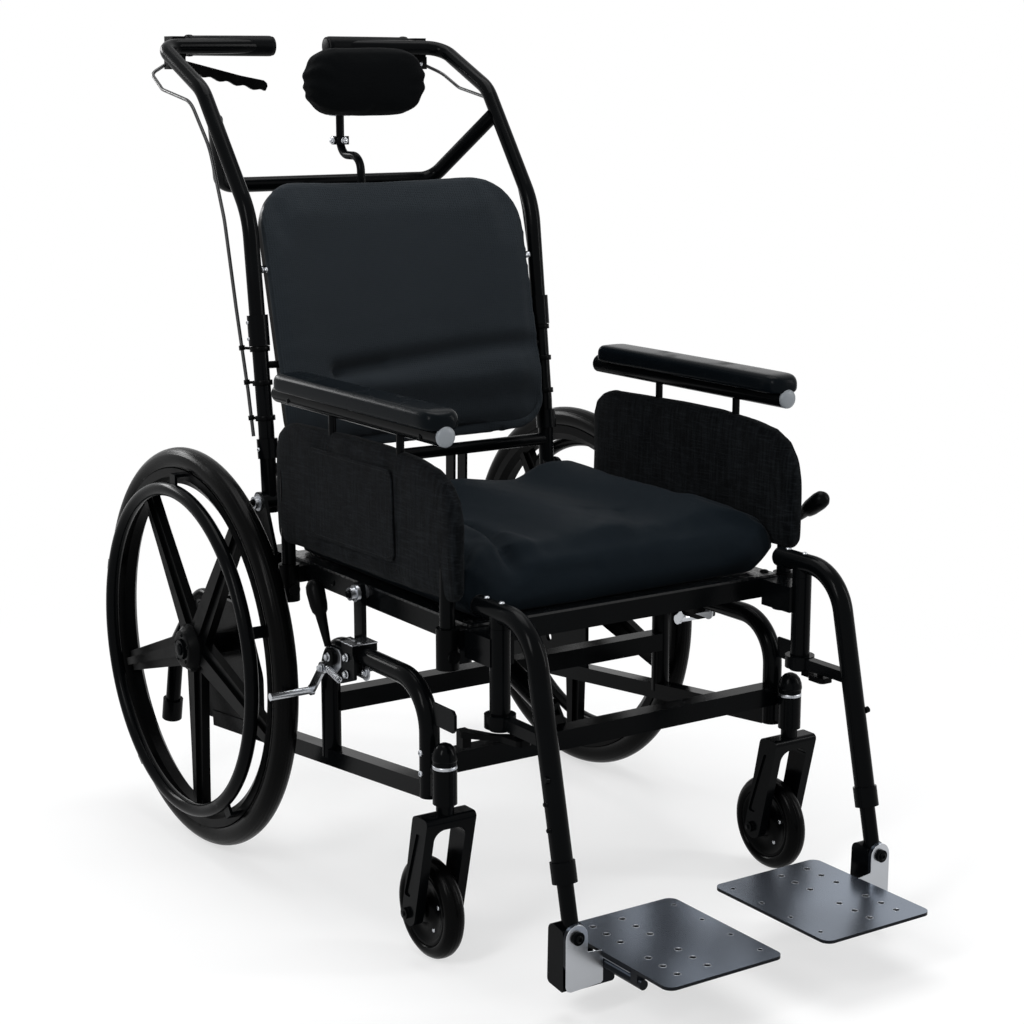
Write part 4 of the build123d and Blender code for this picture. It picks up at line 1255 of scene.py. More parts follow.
# ------------------------------------------------------------------ creases and back frame
def gap(u: float, v: float, start: tuple[float, float], end: tuple[float, float]) -> float:
    """Distance of a point from a straight stretch of a crease.

    Args:
        u: First coordinate of the point.
        v: Its second coordinate.
        start: One end of the stretch.
        end: Its other end.

    Returns:
        The distance.
    """
    du, dv = end[0] - start[0], end[1] - start[1]
    share = ((u - start[0]) * du + (v - start[1]) * dv) / (du * du + dv * dv)
    share = min(max(share, 0.0), 1.0)
    return math.hypot(u - start[0] - share * du, v - start[1] - share * dv)


@dataclass(frozen=True)
class Crease:
    """A fold of cloth along a path, in millimetres; a negative depth stands out."""

    path: tuple[Pair, ...]
    width: float
    depth: float

    def at(self, u: float, v: float) -> float:
        """Depth of the fold at a point, in millimetres, which fades at the path's ends.

        Args:
            u: First coordinate of the point.
            v: Its second coordinate.

        Returns:
            The depth.
        """
        nearest = min(gap(u, v, a, b) for a, b in zip(self.path, self.path[1:]))
        if nearest > 3 * self.width:
            return 0.0
        return self.depth * math.exp(-(nearest / self.width) ** 2)


class BackPlane:
    """Coordinates of the leaning back: across, up its slope, and rearwards from its face."""

    LEAN = math.radians(13.9)
    FOOT = (0.0, -95.0, 557.0)
    UP = Vector((0.0, math.sin(LEAN), math.cos(LEAN)))
    REAR = Vector((0.0, math.cos(LEAN), -math.sin(LEAN)))

    @classmethod
    def read(cls, place: Vector) -> tuple[float, float, float]:
        """Across, up and rearwards of a place, in millimetres."""
        offset = (place - at(*cls.FOOT)) * 1000
        return offset.x, offset.dot(cls.UP), offset.dot(cls.REAR)


FOLD_ROUTE: tuple[Pair, ...] = (
    (-116, 107), (-80, 111), (-37, 114), (5, 117), (93, 124), (150, 126), (208, 124))


# ------------------------------------------------------------------ camera, light and floor
@dataclass
class Stage:
    """Camera at the photograph's angle, a pale floor and soft studio lamps."""

    camera_at: Triple = (-1.54737, -2.31230, 1.07033)
    pitch: float = 78.187
    heading: float = -33.685
    lens: float = 74.68
    sensor: float = 36.0
    farthest: float = 60.0
    floor_radius: float = 14.0
    floor_tone: float = 0.86
    floor_lift: float = 0.6
    fade: Pair = (0.55, 1.7)
    ambient: float = 0.5
    sky: Colour = (0.97, 0.985, 1.0, 1.0)
    white: Colour = (1.0, 1.0, 1.0, 1.0)
    aim: Triple = (0.0, 0.0, 0.5)
    lamps: tuple[tuple[str, Triple, tuple[float, float], float], ...] = (
        ("top_softbox", (0.2, 0.4, 3.0), (1.8, 1.8), 52.0),
        ("key_softbox", (-2.6, -1.2, 2.3), (0.6, 1.5), 46.0),
        ("side_strip", (2.4, -1.9, 1.6), (0.4, 1.9), 30.0),
        ("rear_strip", (-0.9, 2.9, 1.7), (1.4, 0.5), 34.0))

    def build(self) -> None:
        """Set the scene up."""
        scene = bpy.context.scene
        scene.view_settings.view_transform = "Standard"
        self._camera(scene)
        self._world(scene)
        self._floor()
        for name, place, size, power in self.lamps:
            self._lamp(name, Vector(place), size, power)

    def _camera(self, scene: bpy.types.Scene) -> None:
        """Place the camera.

        Args:
            scene: The scene.
        """
        data = bpy.data.cameras.new("photo_camera")
        data.lens = self.lens
        data.sensor_width = self.sensor
        data.clip_end = self.farthest
        camera = bpy.data.objects.new("photo_camera", data)
        camera.location = self.camera_at
        camera.rotation_euler = (math.radians(self.pitch), 0.0, math.radians(self.heading))
        scene.collection.objects.link(camera)
        scene.camera = camera

    @staticmethod
    def _seen(tree: Tree) -> Signal:
        """1 for rays that show the backdrop itself, as the camera, mirrors and glass see it.

        Args:
            tree: The tree of the world or of a material.

        Returns:
            The signal.
        """
        rays = [tree.node("ShaderNodeLightPath", output=f"Is {kind} Ray")
                for kind in ("Camera", "Glossy", "Transmission")]
        return rays[0].largest(rays[1]).largest(rays[2])

    def _world(self, scene: bpy.types.Scene) -> None:
        """White where it is seen, dimmer where it lights.

        Args:
            scene: The scene.
        """
        world = bpy.data.worlds.new("studio")
        world.use_nodes = True
        world.node_tree.nodes.clear()
        tree = Tree(world.node_tree)
        soft = tree.node("ShaderNodeBackground", None,
                         {"Color": self.sky, "Strength": self.ambient})
        white = tree.node("ShaderNodeBackground", None, {"Color": self.white})
        both = tree.node("ShaderNodeMixShader", None, {0: self._seen(tree), 1: soft, 2: white})
        out = world.node_tree.nodes.new("ShaderNodeOutputWorld")
        world.node_tree.links.new(both.socket, out.inputs["Surface"])
        scene.world = world

    def _floor(self) -> None:
        """Matt floor that takes the shadow and fades into the white around it."""
        shader = Shader("studio_floor")
        matt = shader.node("ShaderNodeBsdfDiffuse", None, {"Color": grey(self.floor_tone)})
        white = shader.node("ShaderNodeEmission", None, {"Color": self.white})
        length = shader.node("ShaderNodeVectorMath", {"operation": "LENGTH"}, {0: shader.place},
                             "Value")
        far = (self.floor_lift + (1 - self.floor_lift) * length.step(*self.fade)) * self._seen(shader)
        shader.node_out(shader.node("ShaderNodeMixShader", None, {0: far, 1: matt, 2: white}))
        bm = bmesh.new()
        bmesh.ops.create_circle(bm, cap_ends=True, segments=96, radius=self.floor_radius)
        bmesh.ops.translate(bm, verts=bm.verts, vec=(0.0, 0.0, -0.0006))
        floor = from_bmesh("studio_floor", bm, smooth=False)
        if floor.data.polygons[0].normal.z < 0:
            floor.data.flip_normals()
        floor.data.materials.append(shader.material)

    def _lamp(self, name: str, place: Vector, size: tuple[float, float], power: float) -> None:
        """Hang a soft lamp that points at the chair.

        Args:
            name: Name of the lamp.
            place: Where it hangs, in metres.
            size: Its width and height in metres.
            power: Its power in watts.
        """
        data = bpy.data.lights.new(name, "AREA")
        data.shape = "RECTANGLE"
        data.size, data.size_y = size
        data.energy = power
        lamp = bpy.data.objects.new(name, data)
        lamp.location = place
        lamp.rotation_euler = (Vector(self.aim) - place).to_track_quat("-Z", "Y").to_euler()
        bpy.context.scene.collection.objects.link(lamp)


# ------------------------------------------------------------------ carried nodes
CARRIED: dict[Finish, tuple[str, ...]] = {
    Finish.FRAME: ("wheel_axles", "lock_brackets", "base_arches", "base_rails", "caster_housings",
                   "axle_plates", "tilt_posts", "anti_tippers", "seat_frame", "arm_frames",
                   "hanger_posts", "back_brackets", "back_canes", "push_crossbar", "back_crossbar",
                   "tilt_cylinder", "recline_cylinder", "headrest_stem", "caster_fork_*", "arm_rail_*",
                   "hanger_tube_*", "extension_tube_*", "handrim_*"),
    Finish.PLASTIC: ("arm_sockets", "back_shell", "lever_housings", "headrest_receiver",
                     "mag_wheel_*", "hanger_latch_*"),
    Finish.TYRE: ("tyre_*",),
    Finish.GRIP: ("handgrips",),
    Finish.STEEL: ("tilt_rod", "recline_rod", "wheel_lock_shoe_*"),
    Finish.ZINC: ("pivot_bolts",),
    Finish.PLATE: ("footplate_*",),
    Finish.PAN: ("seat_pan",),
    Finish.SHEATH: ("release_cables",),
}


def dress_carried(shop: Workshop) -> None:
    """Give every CAD node that shows its finish; a star stands for each side.

    Args:
        shop: The workshop, with the frame and the finishes.
    """
    for finish, nodes in CARRIED.items():
        for pattern in nodes:
            names = [pattern.replace("*", side) for side in SIDES] if "*" in pattern else [pattern]
            for name in names:
                mesh = shop.frame["nodes"][name].data
                mesh.materials.clear()
                mesh.materials.append(shop.finishes[finish])
    LOG.info("carried nodes dressed")


# ------------------------------------------------------------------ seat
@dataclass
class SeatCushion:
    """Contoured cushion in a stretch cover, with the creases of its front right corner."""

    shop: Workshop
    inset: float = 6.0
    base_z: float = 423.9
    stuffing: Stuffing = Stuffing(0.006, 4.0, 0.011)
    top_creases: tuple[Crease, ...] = (
        Crease(((-126, -386), (-137, -450), (-153, -509), (-158, -559), (-163, -600)), 13.0, 16.0),
        Crease(((-200, -490), (-196, -552), (-200, -590)), 12.0, -7.0),
        Crease(((-120, -470), (-118, -530), (-112, -580)), 13.0, -3.0),
        Crease(((98, -420), (58, -505), (12, -575)), 11.0, 3.2),
        Crease(((193, -404), (143, -500), (66, -575)), 11.0, 2.6),
        Crease(((60, -400), (20, -470), (-50, -540)), 14.0, 2.2))
    front_creases: tuple[Crease, ...] = (
        Crease(((-225, 453), (-197, 480), (-197, 507)), 7.0, 4.0),
        Crease(((-168, 512), (-168, 486), (-120, 470), (-40, 466)), 7.0, 3.0),
        Crease(((10, 530), (34, 505), (45, 486), (120, 476)), 8.0, 2.4),
        Crease(((105, 515), (160, 500), (230, 478)), 8.0, 2.0))

    def build(self) -> None:
        """Make the cushion."""
        piece = copy_of(self.shop.frame, "seat_cushion", "seat_cushion_cover")
        floor = at(0, 0, self.base_z).z
        shaped(piece, lambda co, n: -n * self.inset / 1000 * (1.0 if co.z > floor + 0.004 else 0.0))
        shaped(piece, lambda co, n: Vector((0, 0, max(0.0, floor - co.z))))
        self.stuffing.swell(piece, lambda co: co.z < floor + 0.006)
        relaxed(piece, 2)
        piece = refined(piece)
        shaped(piece, self._fold)
        shaped(piece, lambda co, n: Vector((0, 0, max(0.0, floor + 0.0003 - co.z))))
        self.shop.place(piece, "seat", Finish.COVER, "stretch_cover", ["seat_cushion"])

    def _fold(self, place: Vector, normal: Vector) -> Vector:
        """Shift of a point by the creases and a faint slackness of the cover.

        Args:
            place: The point, in metres.
            normal: Its normal.

        Returns:
            The shift in metres.
        """
        x, y, z = place.x * 1000, place.y * 1000 - REAR_AXLE_Y, place.z * 1000
        above = max(0.0, min(1.0, (z - 460) / 40))
        depth = above * sum(crease.at(x, y) for crease in self.top_creases)
        ahead = max(0.0, min(1.0, (-545 - y) / 25))
        depth += ahead * sum(crease.at(x, z) for crease in self.front_creases)
        slack = 0.9 * noise(place * 9.0) + 0.5 * noise(Vector((x / 22, y / 70, z / 30)))
        raised = max(0.0, min(1.0, (z - self.base_z) / 30))
        edge = raised * min(1.0, max(0.0, (abs(x) - 150) / 72)) ** 2
        corner = edge * max(0.0, min(1.0, (-380 - y) / 170)) ** 1.5
        wider = min(247.0, abs(x) + 8.0 * edge + 19.0 * corner) - abs(x)
        spread = Vector((math.copysign(wider, x), -7.0 * corner, 0.0))
        setback = (5 + 19 * (x + 228) / 457) * max(0.0, 1 - (z - self.base_z) / 42) ** 1.5
        return (-normal * (depth + slack) + spread + Vector((0, setback * ahead, 0))) / 1000


@dataclass
class SidePanels:
    """Foam panels in woven cloth, each with a plain sewn pocket."""

    shop: Workshop
    centre_x: float = 259.0
    half: float = 11.0
    outline: tuple[Pair, ...] = (
        (-146, 447), (-136, 460), (-136, 580), (-143, 600), (-160, 613), (-180, 620), (-250, 623),
        (-340, 625.5), (-430, 625.5), (-500, 620), (-545, 612), (-572, 598), (-588, 576), (-594, 550),
        (-594.5, 500), (-595, 464), (-585, 453), (-540, 450), (-500, 447.5), (-460, 446.5),
        (-380, 446.5), (-260, 446.5), (-200, 446.5))
    pocket: tuple[Pair, ...] = (
        (-243, 490), (-240, 580), (-243, 589), (-251, 594), (-440, 596), (-449, 592), (-452, 583),
        (-457, 493), (-454, 484), (-445, 480), (-256, 477), (-247, 481))
    posts: Pair = (-286.0, -454.0)
    stuffing: Stuffing = Stuffing(0.005, 5.0, 0.0035)

    def build(self) -> None:
        """Make both panels."""
        for side, sign in SIDES.items():
            panel = self._panel(f"side_panel_{side}", sign)
            replaced = ["side_panels"] if side == "left" else []
            self.shop.place(panel, "seat", Finish.PANEL, "black_fabric", replaced)
            self._pocket(side, sign)

    def _panel(self, name: str, sign: float) -> bpy.types.Object:
        """The stuffed panel, pulled in round its guide posts.

        Args:
            name: Name of the piece.
            sign: 1 on the left, -1 on the right.

        Returns:
            The panel.
        """
        thin = self.half - 2.5
        corners = [(y * 0.985 - 3.5, 536 + (z - 536) * 0.975) for y, z in self.outline]
        panel = slab(name, corners, 2 * thin, standing(self.centre_x - thin, sign), 4.5)
        self.stuffing.swell(panel, lambda co: False)
        relaxed(panel, 1)
        panel = refined(panel)

        def pull(place: Vector, normal: Vector) -> Vector:
            """Puckers that run from the posts and from the foot of the panel.

            Args:
                place: The point, in metres.
                normal: Its normal.

            Returns:
                The shift in metres.
            """
            y, z = place.y * 1000 - REAR_AXLE_Y, place.z * 1000
            near = sum(math.exp(-((y - post) / 26) ** 2) for post in self.posts)
            low = math.exp(-((z - 450) / 30) ** 2)
            ripple = math.sin(y / 19 + 3.4 * noise(place * 9.0)) * low * 1.0
            ripple += near * (1.2 + 0.8 * noise(Vector((0.0, y / 26, z / 22))))
            ripple += 1.3 * noise(Vector((sign, y / 55, z / 70)))
            return -normal * abs(normal.x) * ripple / 1000

        shaped(panel, pull)
        return panel

    def _pocket(self, side: str, sign: float) -> None:
        """Flat pocket sewn on the outside, with its stitch line.

        Args:
            side: The side, left or right.
            sign: 1 on the left, -1 on the right.
        """
        plane = standing(self.centre_x + self.half + 0.9, sign)
        cloth = slab(f"panel_pocket_{side}", self.pocket, 2.8, plane, 1.3)
        self.shop.place(cloth, "seat", Finish.PANEL, "black_fabric")
        inner = [(-347 + (y + 347) * 0.955, 537 + (z - 537) * 0.92) for y, z in self.pocket]
        line = [at(sign * (self.centre_x + self.half + 3.8), y, z) for y, z in inner]
        seam = self.shop.stitching.sew(f"pocket_stitches_{side}", line, 0.0042, 0.00042,
                                       self.shop.finishes[Finish.THREAD], closed=True)
        self.shop.place(seam, "seat", None, "black_fabric")


@dataclass
class Armrests:
    """Moulded pads with their end caps."""

    shop: Workshop
    x: float = 261.0
    half: float = 25.0
    low: float = 657.0
    high: float = 680.0
    front: float = -559.0
    rear: float = -164.0
    stations: int = 26

    def build(self) -> None:
        """Make both armrests."""
        for side, sign in SIDES.items():
            body = f"armrest_{side}"
            sections = [self._section(sign, i) for i in range(self.stations + 1)]
            pad = refined(lofted(f"armpad_skin_{side}", sections))
            self.shop.place(pad, body, Finish.SKIN, "pad_skin", [f"armpad_{side}"])
            cap = turned(f"arm_end_cap_{side}",
                         [(0, -2), (12.2, -2), (12.6, 0), (12.4, 3.4), (10.4, 5.6), (6, 6.6), (0, 6.9)],
                         at(sign * self.x, -555.5, 650), Vector((0, -1, 0)))
            self.shop.place(cap, body, Finish.CAP, "black_plastic")

    def _section(self, sign: float, index: int) -> list[Vector]:
        """Rounded section of a pad at one station along it, drawn in at both ends.

        Args:
            sign: 1 on the left, -1 on the right.
            index: Number of the station, from the front.

        Returns:
            The points of the section.
        """
        share = index / self.stations
        y = self.front + (self.rear - self.front) * (0.5 - 0.5 * math.cos(math.pi * share))
        to_front, to_rear = (y - self.front) / 20.0, (self.rear - y) / 10.0
        end = min(1.0, to_front, to_rear)
        pull = math.sqrt(max(0.0, 1 - (1 - end) ** 2))
        half = self.half - 16.0 * (1 - pull)
        top = self.high + 0.8 * math.sin(math.pi * share) - 9.0 * (1 - pull)
        low = self.low + 1.0 * (1 - pull)
        middle, rise = (top + low) / 2, (top - low) / 2
        ring = rounded_ring(half, rise, (min(9, half), min(9, half), 6, 6), 5)
        return [at(sign * self.x + x, y, middle + z + 1.2 * (1 - (x / half) ** 2) * (z > 0))
                for x, z in ring]


# ------------------------------------------------------------------ back
@dataclass
class BackUpholstery:
    """Back pad in spacer mesh, with its slack lower folds."""

    shop: Workshop
    half: float = 211.0
    thick: float = 62.0
    curve: float = 46.0
    inset: float = 5.0
    widening: float = 3.0
    stuffing: Stuffing = Stuffing(0.006, 4.0, 0.010)
    folds: tuple[Crease, ...] = (
        Crease(FOLD_ROUTE, 13.0, 13.0),
        Crease(FOLD_ROUTE[:3], 9.0, 5.0),
        Crease(((-60, 84), (10, 82), (80, 84), (150, 84), (205, 80)), 15.0, -5.0),
        Crease(((-130, 52), (-20, 46), (70, 48), (150, 50), (205, 44)), 18.0, 6.0))

    def build(self) -> None:
        """Make the pad and the sleeves on the shell's studs."""
        pad = copy_of(self.shop.frame, "back_cushion", "back_pad_cover")
        shaped(pad, lambda co, n: -n * self.inset / 1000 * (0.0 if self._rests(co, 4) else 1.0))
        self.stuffing.swell(pad, lambda co: self._rests(co, 9))
        relaxed(pad, 2)
        pad = refined(pad)
        shaped(pad, self._fold)
        self.shop.place(pad, "back", Finish.MESH, "black_fabric", ["back_cushion"])
        self._studs()

    def _rests(self, place: Vector, reach: float) -> bool:
        """Whether a point lies on the shell."""
        across, _, rear = BackPlane.read(place)
        return rear > self.thick - self.curve * (across / self.half) ** 2 - reach

    def _fold(self, place: Vector, normal: Vector) -> Vector:
        """Shift of a point by the folds and the slack of the cover.

        Args:
            place: The point, in metres.
            normal: Its normal.

        Returns:
            The shift in metres.
        """
        across, up, _ = BackPlane.read(place)
        spread = self.widening * min(1.0, abs(across / self.half)) ** 4
        widened = Vector((math.copysign(spread, across), 0, 0)) / 1000
        if normal.dot(BackPlane.REAR) > 0.2:
            return widened
        fade = 1 - min(1.0, max(0.0, (abs(across) - 170) / 42)) ** 2
        depth = fade * sum(fold.at(across, up) for fold in self.folds)
        depth += 15 * (max(0.0, 96 - up) / 96) ** 2
        low = math.exp(-((up - 90) / 70) ** 2)
        depth += low * 1.4 * noise(Vector((across / 60, up / 26, 1.0)))
        depth += 0.8 * noise(Vector((across / 70, up / 60, 4.0)))
        depth *= min(1.0, 1.6 * max(0.0, -normal.dot(BackPlane.REAR)))
        return widened - normal * depth / 1000

    def _studs(self) -> None:
        """Bright sleeves on the four studs that hold the shell."""
        for side, sign in SIDES.items():
            for number, (y, z) in enumerate(((-34.5, 672), (-18.9, 800))):
                profile = [(0, 0), (4.6, 0), (4.6, 2.0), (3.6, 2.4), (3.6, 9), (4.6, 9.4), (4.6, 11),
                           (0, 11)]
                sleeve = turned(f"shell_stud_{number}_{side}", profile, at(sign * 209.5, y, z),
                                Vector((sign, 0, 0)), 32)
                self.shop.place(sleeve, "back", Finish.ZINC)


@dataclass
class Headrest:
    """Pillow in a wrinkled knit, on a backing plate between two cheeks."""

    shop: Workshop
    centre: Triple = (0.0, 76.0, 1050.5)
    width: float = 195.0
    height: float = 95.0
    depth: float = 62.0
    pivot: Triple = (0.0, 150.0, 1010.0)
    stuffing: Stuffing = Stuffing(0.004, 5.0, 0.008)

    def build(self) -> None:
        """Make the pillow and its arm."""
        place = upright(at(0, self.centre[1] + self.depth / 2 - 4, self.centre[2]))
        ring = rounded_ring(self.width / 2 - 4, self.height / 2 - 1, (42, 42, 42, 42), 8)
        pillow = slab("headrest_pillow", ring, self.depth - 8, place, 18.0)
        self.stuffing.swell(pillow, lambda co: False)
        relaxed(pillow, 2)
        pillow = refined(pillow)
        shaped(pillow, self._crinkle)
        self.shop.place(pillow, "headrest", Finish.KNIT, "black_fabric", ["headrest_pad"])
        self._arm()

    def _crinkle(self, place: Vector, normal: Vector) -> Vector:
        """Gathers at both ends and a soft slackness between them.

        Args:
            place: The point, in metres.
            normal: Its normal.

        Returns:
            The shift in metres.
        """
        across = place.x * 1000
        end = max(0.0, (abs(across) - 55) / 42)
        gathers = math.sin(place.z * 1000 / 3.4 + 4 * noise(place * 22.0)) * end * 1.5
        slack = 1.6 * noise(place * 20.0)
        return -normal * (gathers + slack) / 1000

    def _arm(self) -> None:
        """Backing plate and the two cheeks on the stem's joint."""
        back = self.centre[1] + self.depth / 2
        z = self.pivot[2]
        plate = slab("headrest_backing", rounded_ring(24, 23, (6, 6, 6, 6), 4), 10.0,
                     upright(at(0, back + 14, z + 37)), 1.5)
        self.shop.place(plate, "headrest", Finish.PLASTIC)
        y = self.pivot[1]
        outline = [(back + 6, z + 20), (back + 6, z + 48), (back + 16, z + 46), (y + 6, z + 12),
                   (y + 9, z + 6), (y + 9, z - 6), (y + 5, z - 9), (y - 7, z - 9), (y - 10, z - 5)]
        for name, x in (("right", -14.0), ("left", 9.5)):
            cheek = slab(f"headrest_cheek_{name}", outline, 4.5, standing(x), 0.8)
            self.shop.place(cheek, "headrest", Finish.STEEL)
        collar = turned("stem_collar", [(0, 0), (12.4, 0), (13.0, 1), (13.0, 8), (12.4, 9), (0, 9)],
                        at(self.pivot[0], self.pivot[1], 961.5), Vector((0, 0, 1)))
        self.shop.place(collar, "headrest_stem_body", Finish.FRAME)
        pins = [(at(self.pivot[0] - 12.4, self.pivot[1], 966), (-1, 0, 0), 0.6),
                (at(self.pivot[0], self.pivot[1] - 12.4, 966), (0, -1, 0), 0.6)]
        self.shop.scattered("stem_collar_bolts", hex_bolt, pins, "headrest_stem_body", Finish.STEEL)
        knobs = [(at(s * 16, y, z), (s, 0, 0), 0.95) for s in (1, -1)]
        self.shop.scattered("headrest_joint_bolts", hex_bolt, knobs, "headrest", Finish.STEEL)
        rivets = [(at(dx, back + 15, z + 37 + dz), (0, 1, 0), 0.9)
                  for dx in (-17, 17) for dz in (-16, 16)]
        self.shop.scattered("headrest_screws", socket_screw, rivets, "headrest", Finish.ZINC)


@dataclass
class Handles:
    """Grip sleeves of the push handles, their squeeze levers and the cable clips."""

    shop: Workshop
    inner: float = 46.0
    y: float = 271.0
    z: float = 1102.0
    radius: float = 14.0
    cane_x: float = 232.0
    cane_foot: Pair = (-45.0, 586.0)
    cane_run: Pair = (35.0, 287.0)
    cable_x: float = 247.5
    cable_run: Pair = (30.0, 111.0)
    clips: tuple[Pair, ...] = ((600.0, -31.7), (648.0, -20.8), (694.0, -8.3))

    def build(self) -> None:
        """Dress both handles."""
        for side, sign in SIDES.items():
            self._grip(side, sign)
            self._lever(side, sign)
            for number, (z, cable_y) in enumerate(self.clips):
                clip = self._clip(f"cable_clip_{number}_{side}", sign, z, cable_y)
                self.shop.place(clip, "back", Finish.PLASTIC)

    def _clip(self, name: str, sign: float, z: float, cable_y: float) -> bpy.types.Object:
        """Ring round a cane, with an arm and an eye that hold the cable.

        Args:
            name: Name of the piece.
            sign: 1 on the left, -1 on the right.
            z: Height of the clip.
            cable_y: Distance of the cable from the axle at that height.

        Returns:
            The clip.
        """
        foot_y, foot_z = self.cane_foot
        run_y, run_z = self.cane_run
        cane = at(sign * self.cane_x, foot_y + run_y * (z - foot_z) / run_z, z)
        cable = at(sign * self.cable_x, cable_y, z)
        reach = (cable - cane).length * 1000
        profile = [(0, -3.6), (13.4, -3.6), (13.8, -3.0), (13.8, 3.0), (13.4, 3.6), (0, 3.6)]
        ring = turned("ring", profile, cane, Vector((0, run_y, run_z)).normalized(), 40)
        arm = turned("arm", [(0, 12), (2.0, 12), (2.0, reach), (0, reach)], cane, cable - cane, 16)
        eye = turned("eye", [(0, -3.2), (4.2, -3.2), (4.2, 3.2), (0, 3.2)], cable,
                     Vector((0, *self.cable_run)).normalized(), 24)
        return joined(name, [ring, arm, eye])

    def _grip(self, side: str, sign: float) -> None:
        """Flange at the root, raised ring near the end and rounded end of a grip.

        Args:
            side: The side, left or right.
            sign: 1 on the left, -1 on the right.
        """
        r = self.radius
        profile = [(0, -1.2), (r - 5, -1.2), (r - 1.2, 0.2), (r + 0.9, 3.5), (r + 1.1, 7),
                   (r + 0.9, 60), (r + 0.5, 130), (r + 1.6, 132), (r + 1.8, 136), (r + 1.4, 139),
                   (r + 0.1, 140)]
        sleeve = turned(f"grip_sleeve_{side}", profile, at(sign * self.inner, self.y, self.z),
                        Vector((sign, 0, 0)), 56)
        self.shop.place(sleeve, "back", Finish.GRIP, "grip_rubber")

    def _lever(self, side: str, sign: float) -> None:
        """Squeeze lever with four finger hollows along its lower edge.

        Args:
            side: The side, left or right.
            sign: 1 on the left, -1 on the right.
        """
        top = [(210, 1081), (196, 1082), (150, 1071), (100, 1059), (62, 1052), (57, 1048), (56, 1043)]
        lower = []
        for i in range(25):
            x = 60 + 4.6 * i
            wave = 1.8 * math.cos(2 * math.pi * (x - 66) / 27.5) if x < 162 else 1.4
            lower.append((x, 1035.5 + 0.22 * (x - 60) + wave))
        outline = top + lower + [(196, 1066), (210, 1070), (213, 1075)]
        lever = slab(f"squeeze_lever_{side}", outline, 7.6, upright(at(0, self.y + 3.8, 0), sign), 1.8)
        self.shop.place(lever, f"hand_lever_{side}", Finish.PLASTIC,
                        replaces=[f"release_lever_{side}"])


# ------------------------------------------------------------------ wheels and casters
@dataclass
class Wheels:
    """Hub covers with their screws, the push rings' screws and the axles' buttons."""

    shop: Workshop
    x: float = 324.0
    z: float = 279.5
    spokes: int = 5
    first: float = 234.0
    hub_screws: Pair = (348.6, 19.6)
    rim_screws: Pair = (349.8, 246.0)
    button_x: float = 351.6

    def build(self) -> None:
        """Dress both wheels."""
        for side, sign in SIDES.items():
            body = f"wheel_{side}"
            out = Vector((sign, 0, 0))
            profile = [(13.4, 20.5), (13.4, 23.0), (15.5, 24.6), (24, 24.6), (26, 23.2), (27, 20.2),
                       (33.8, 13.0), (33.8, 11.0), (13.4, 11.0)]
            hub = turned(f"hub_cover_{side}", profile, at(sign * self.x, 0, self.z), out, 64)
            self.shop.place(hub, body, Finish.PLASTIC)
            for name, kind, (x, radius), size, finish in (
                    ("hub_screws", socket_screw, self.hub_screws, 0.55, Finish.FRAME),
                    ("handrim_screws", pan_head, self.rim_screws, 0.5, Finish.ZINC)):
                ring = bolt_circle((sign * x, 0.0, self.z), radius, self.spokes, self.first, sign, size)
                self.shop.scattered(f"{name}_{side}", kind, ring, body, finish)
            button = turned(f"axle_button_{side}", [(0, 0), (8.6, 0), (8.6, 2.2), (7.4, 3.4), (0, 3.8)],
                            at(sign * self.button_x, 0, self.z), out)
            self.shop.place(button, "base", Finish.FRAME)


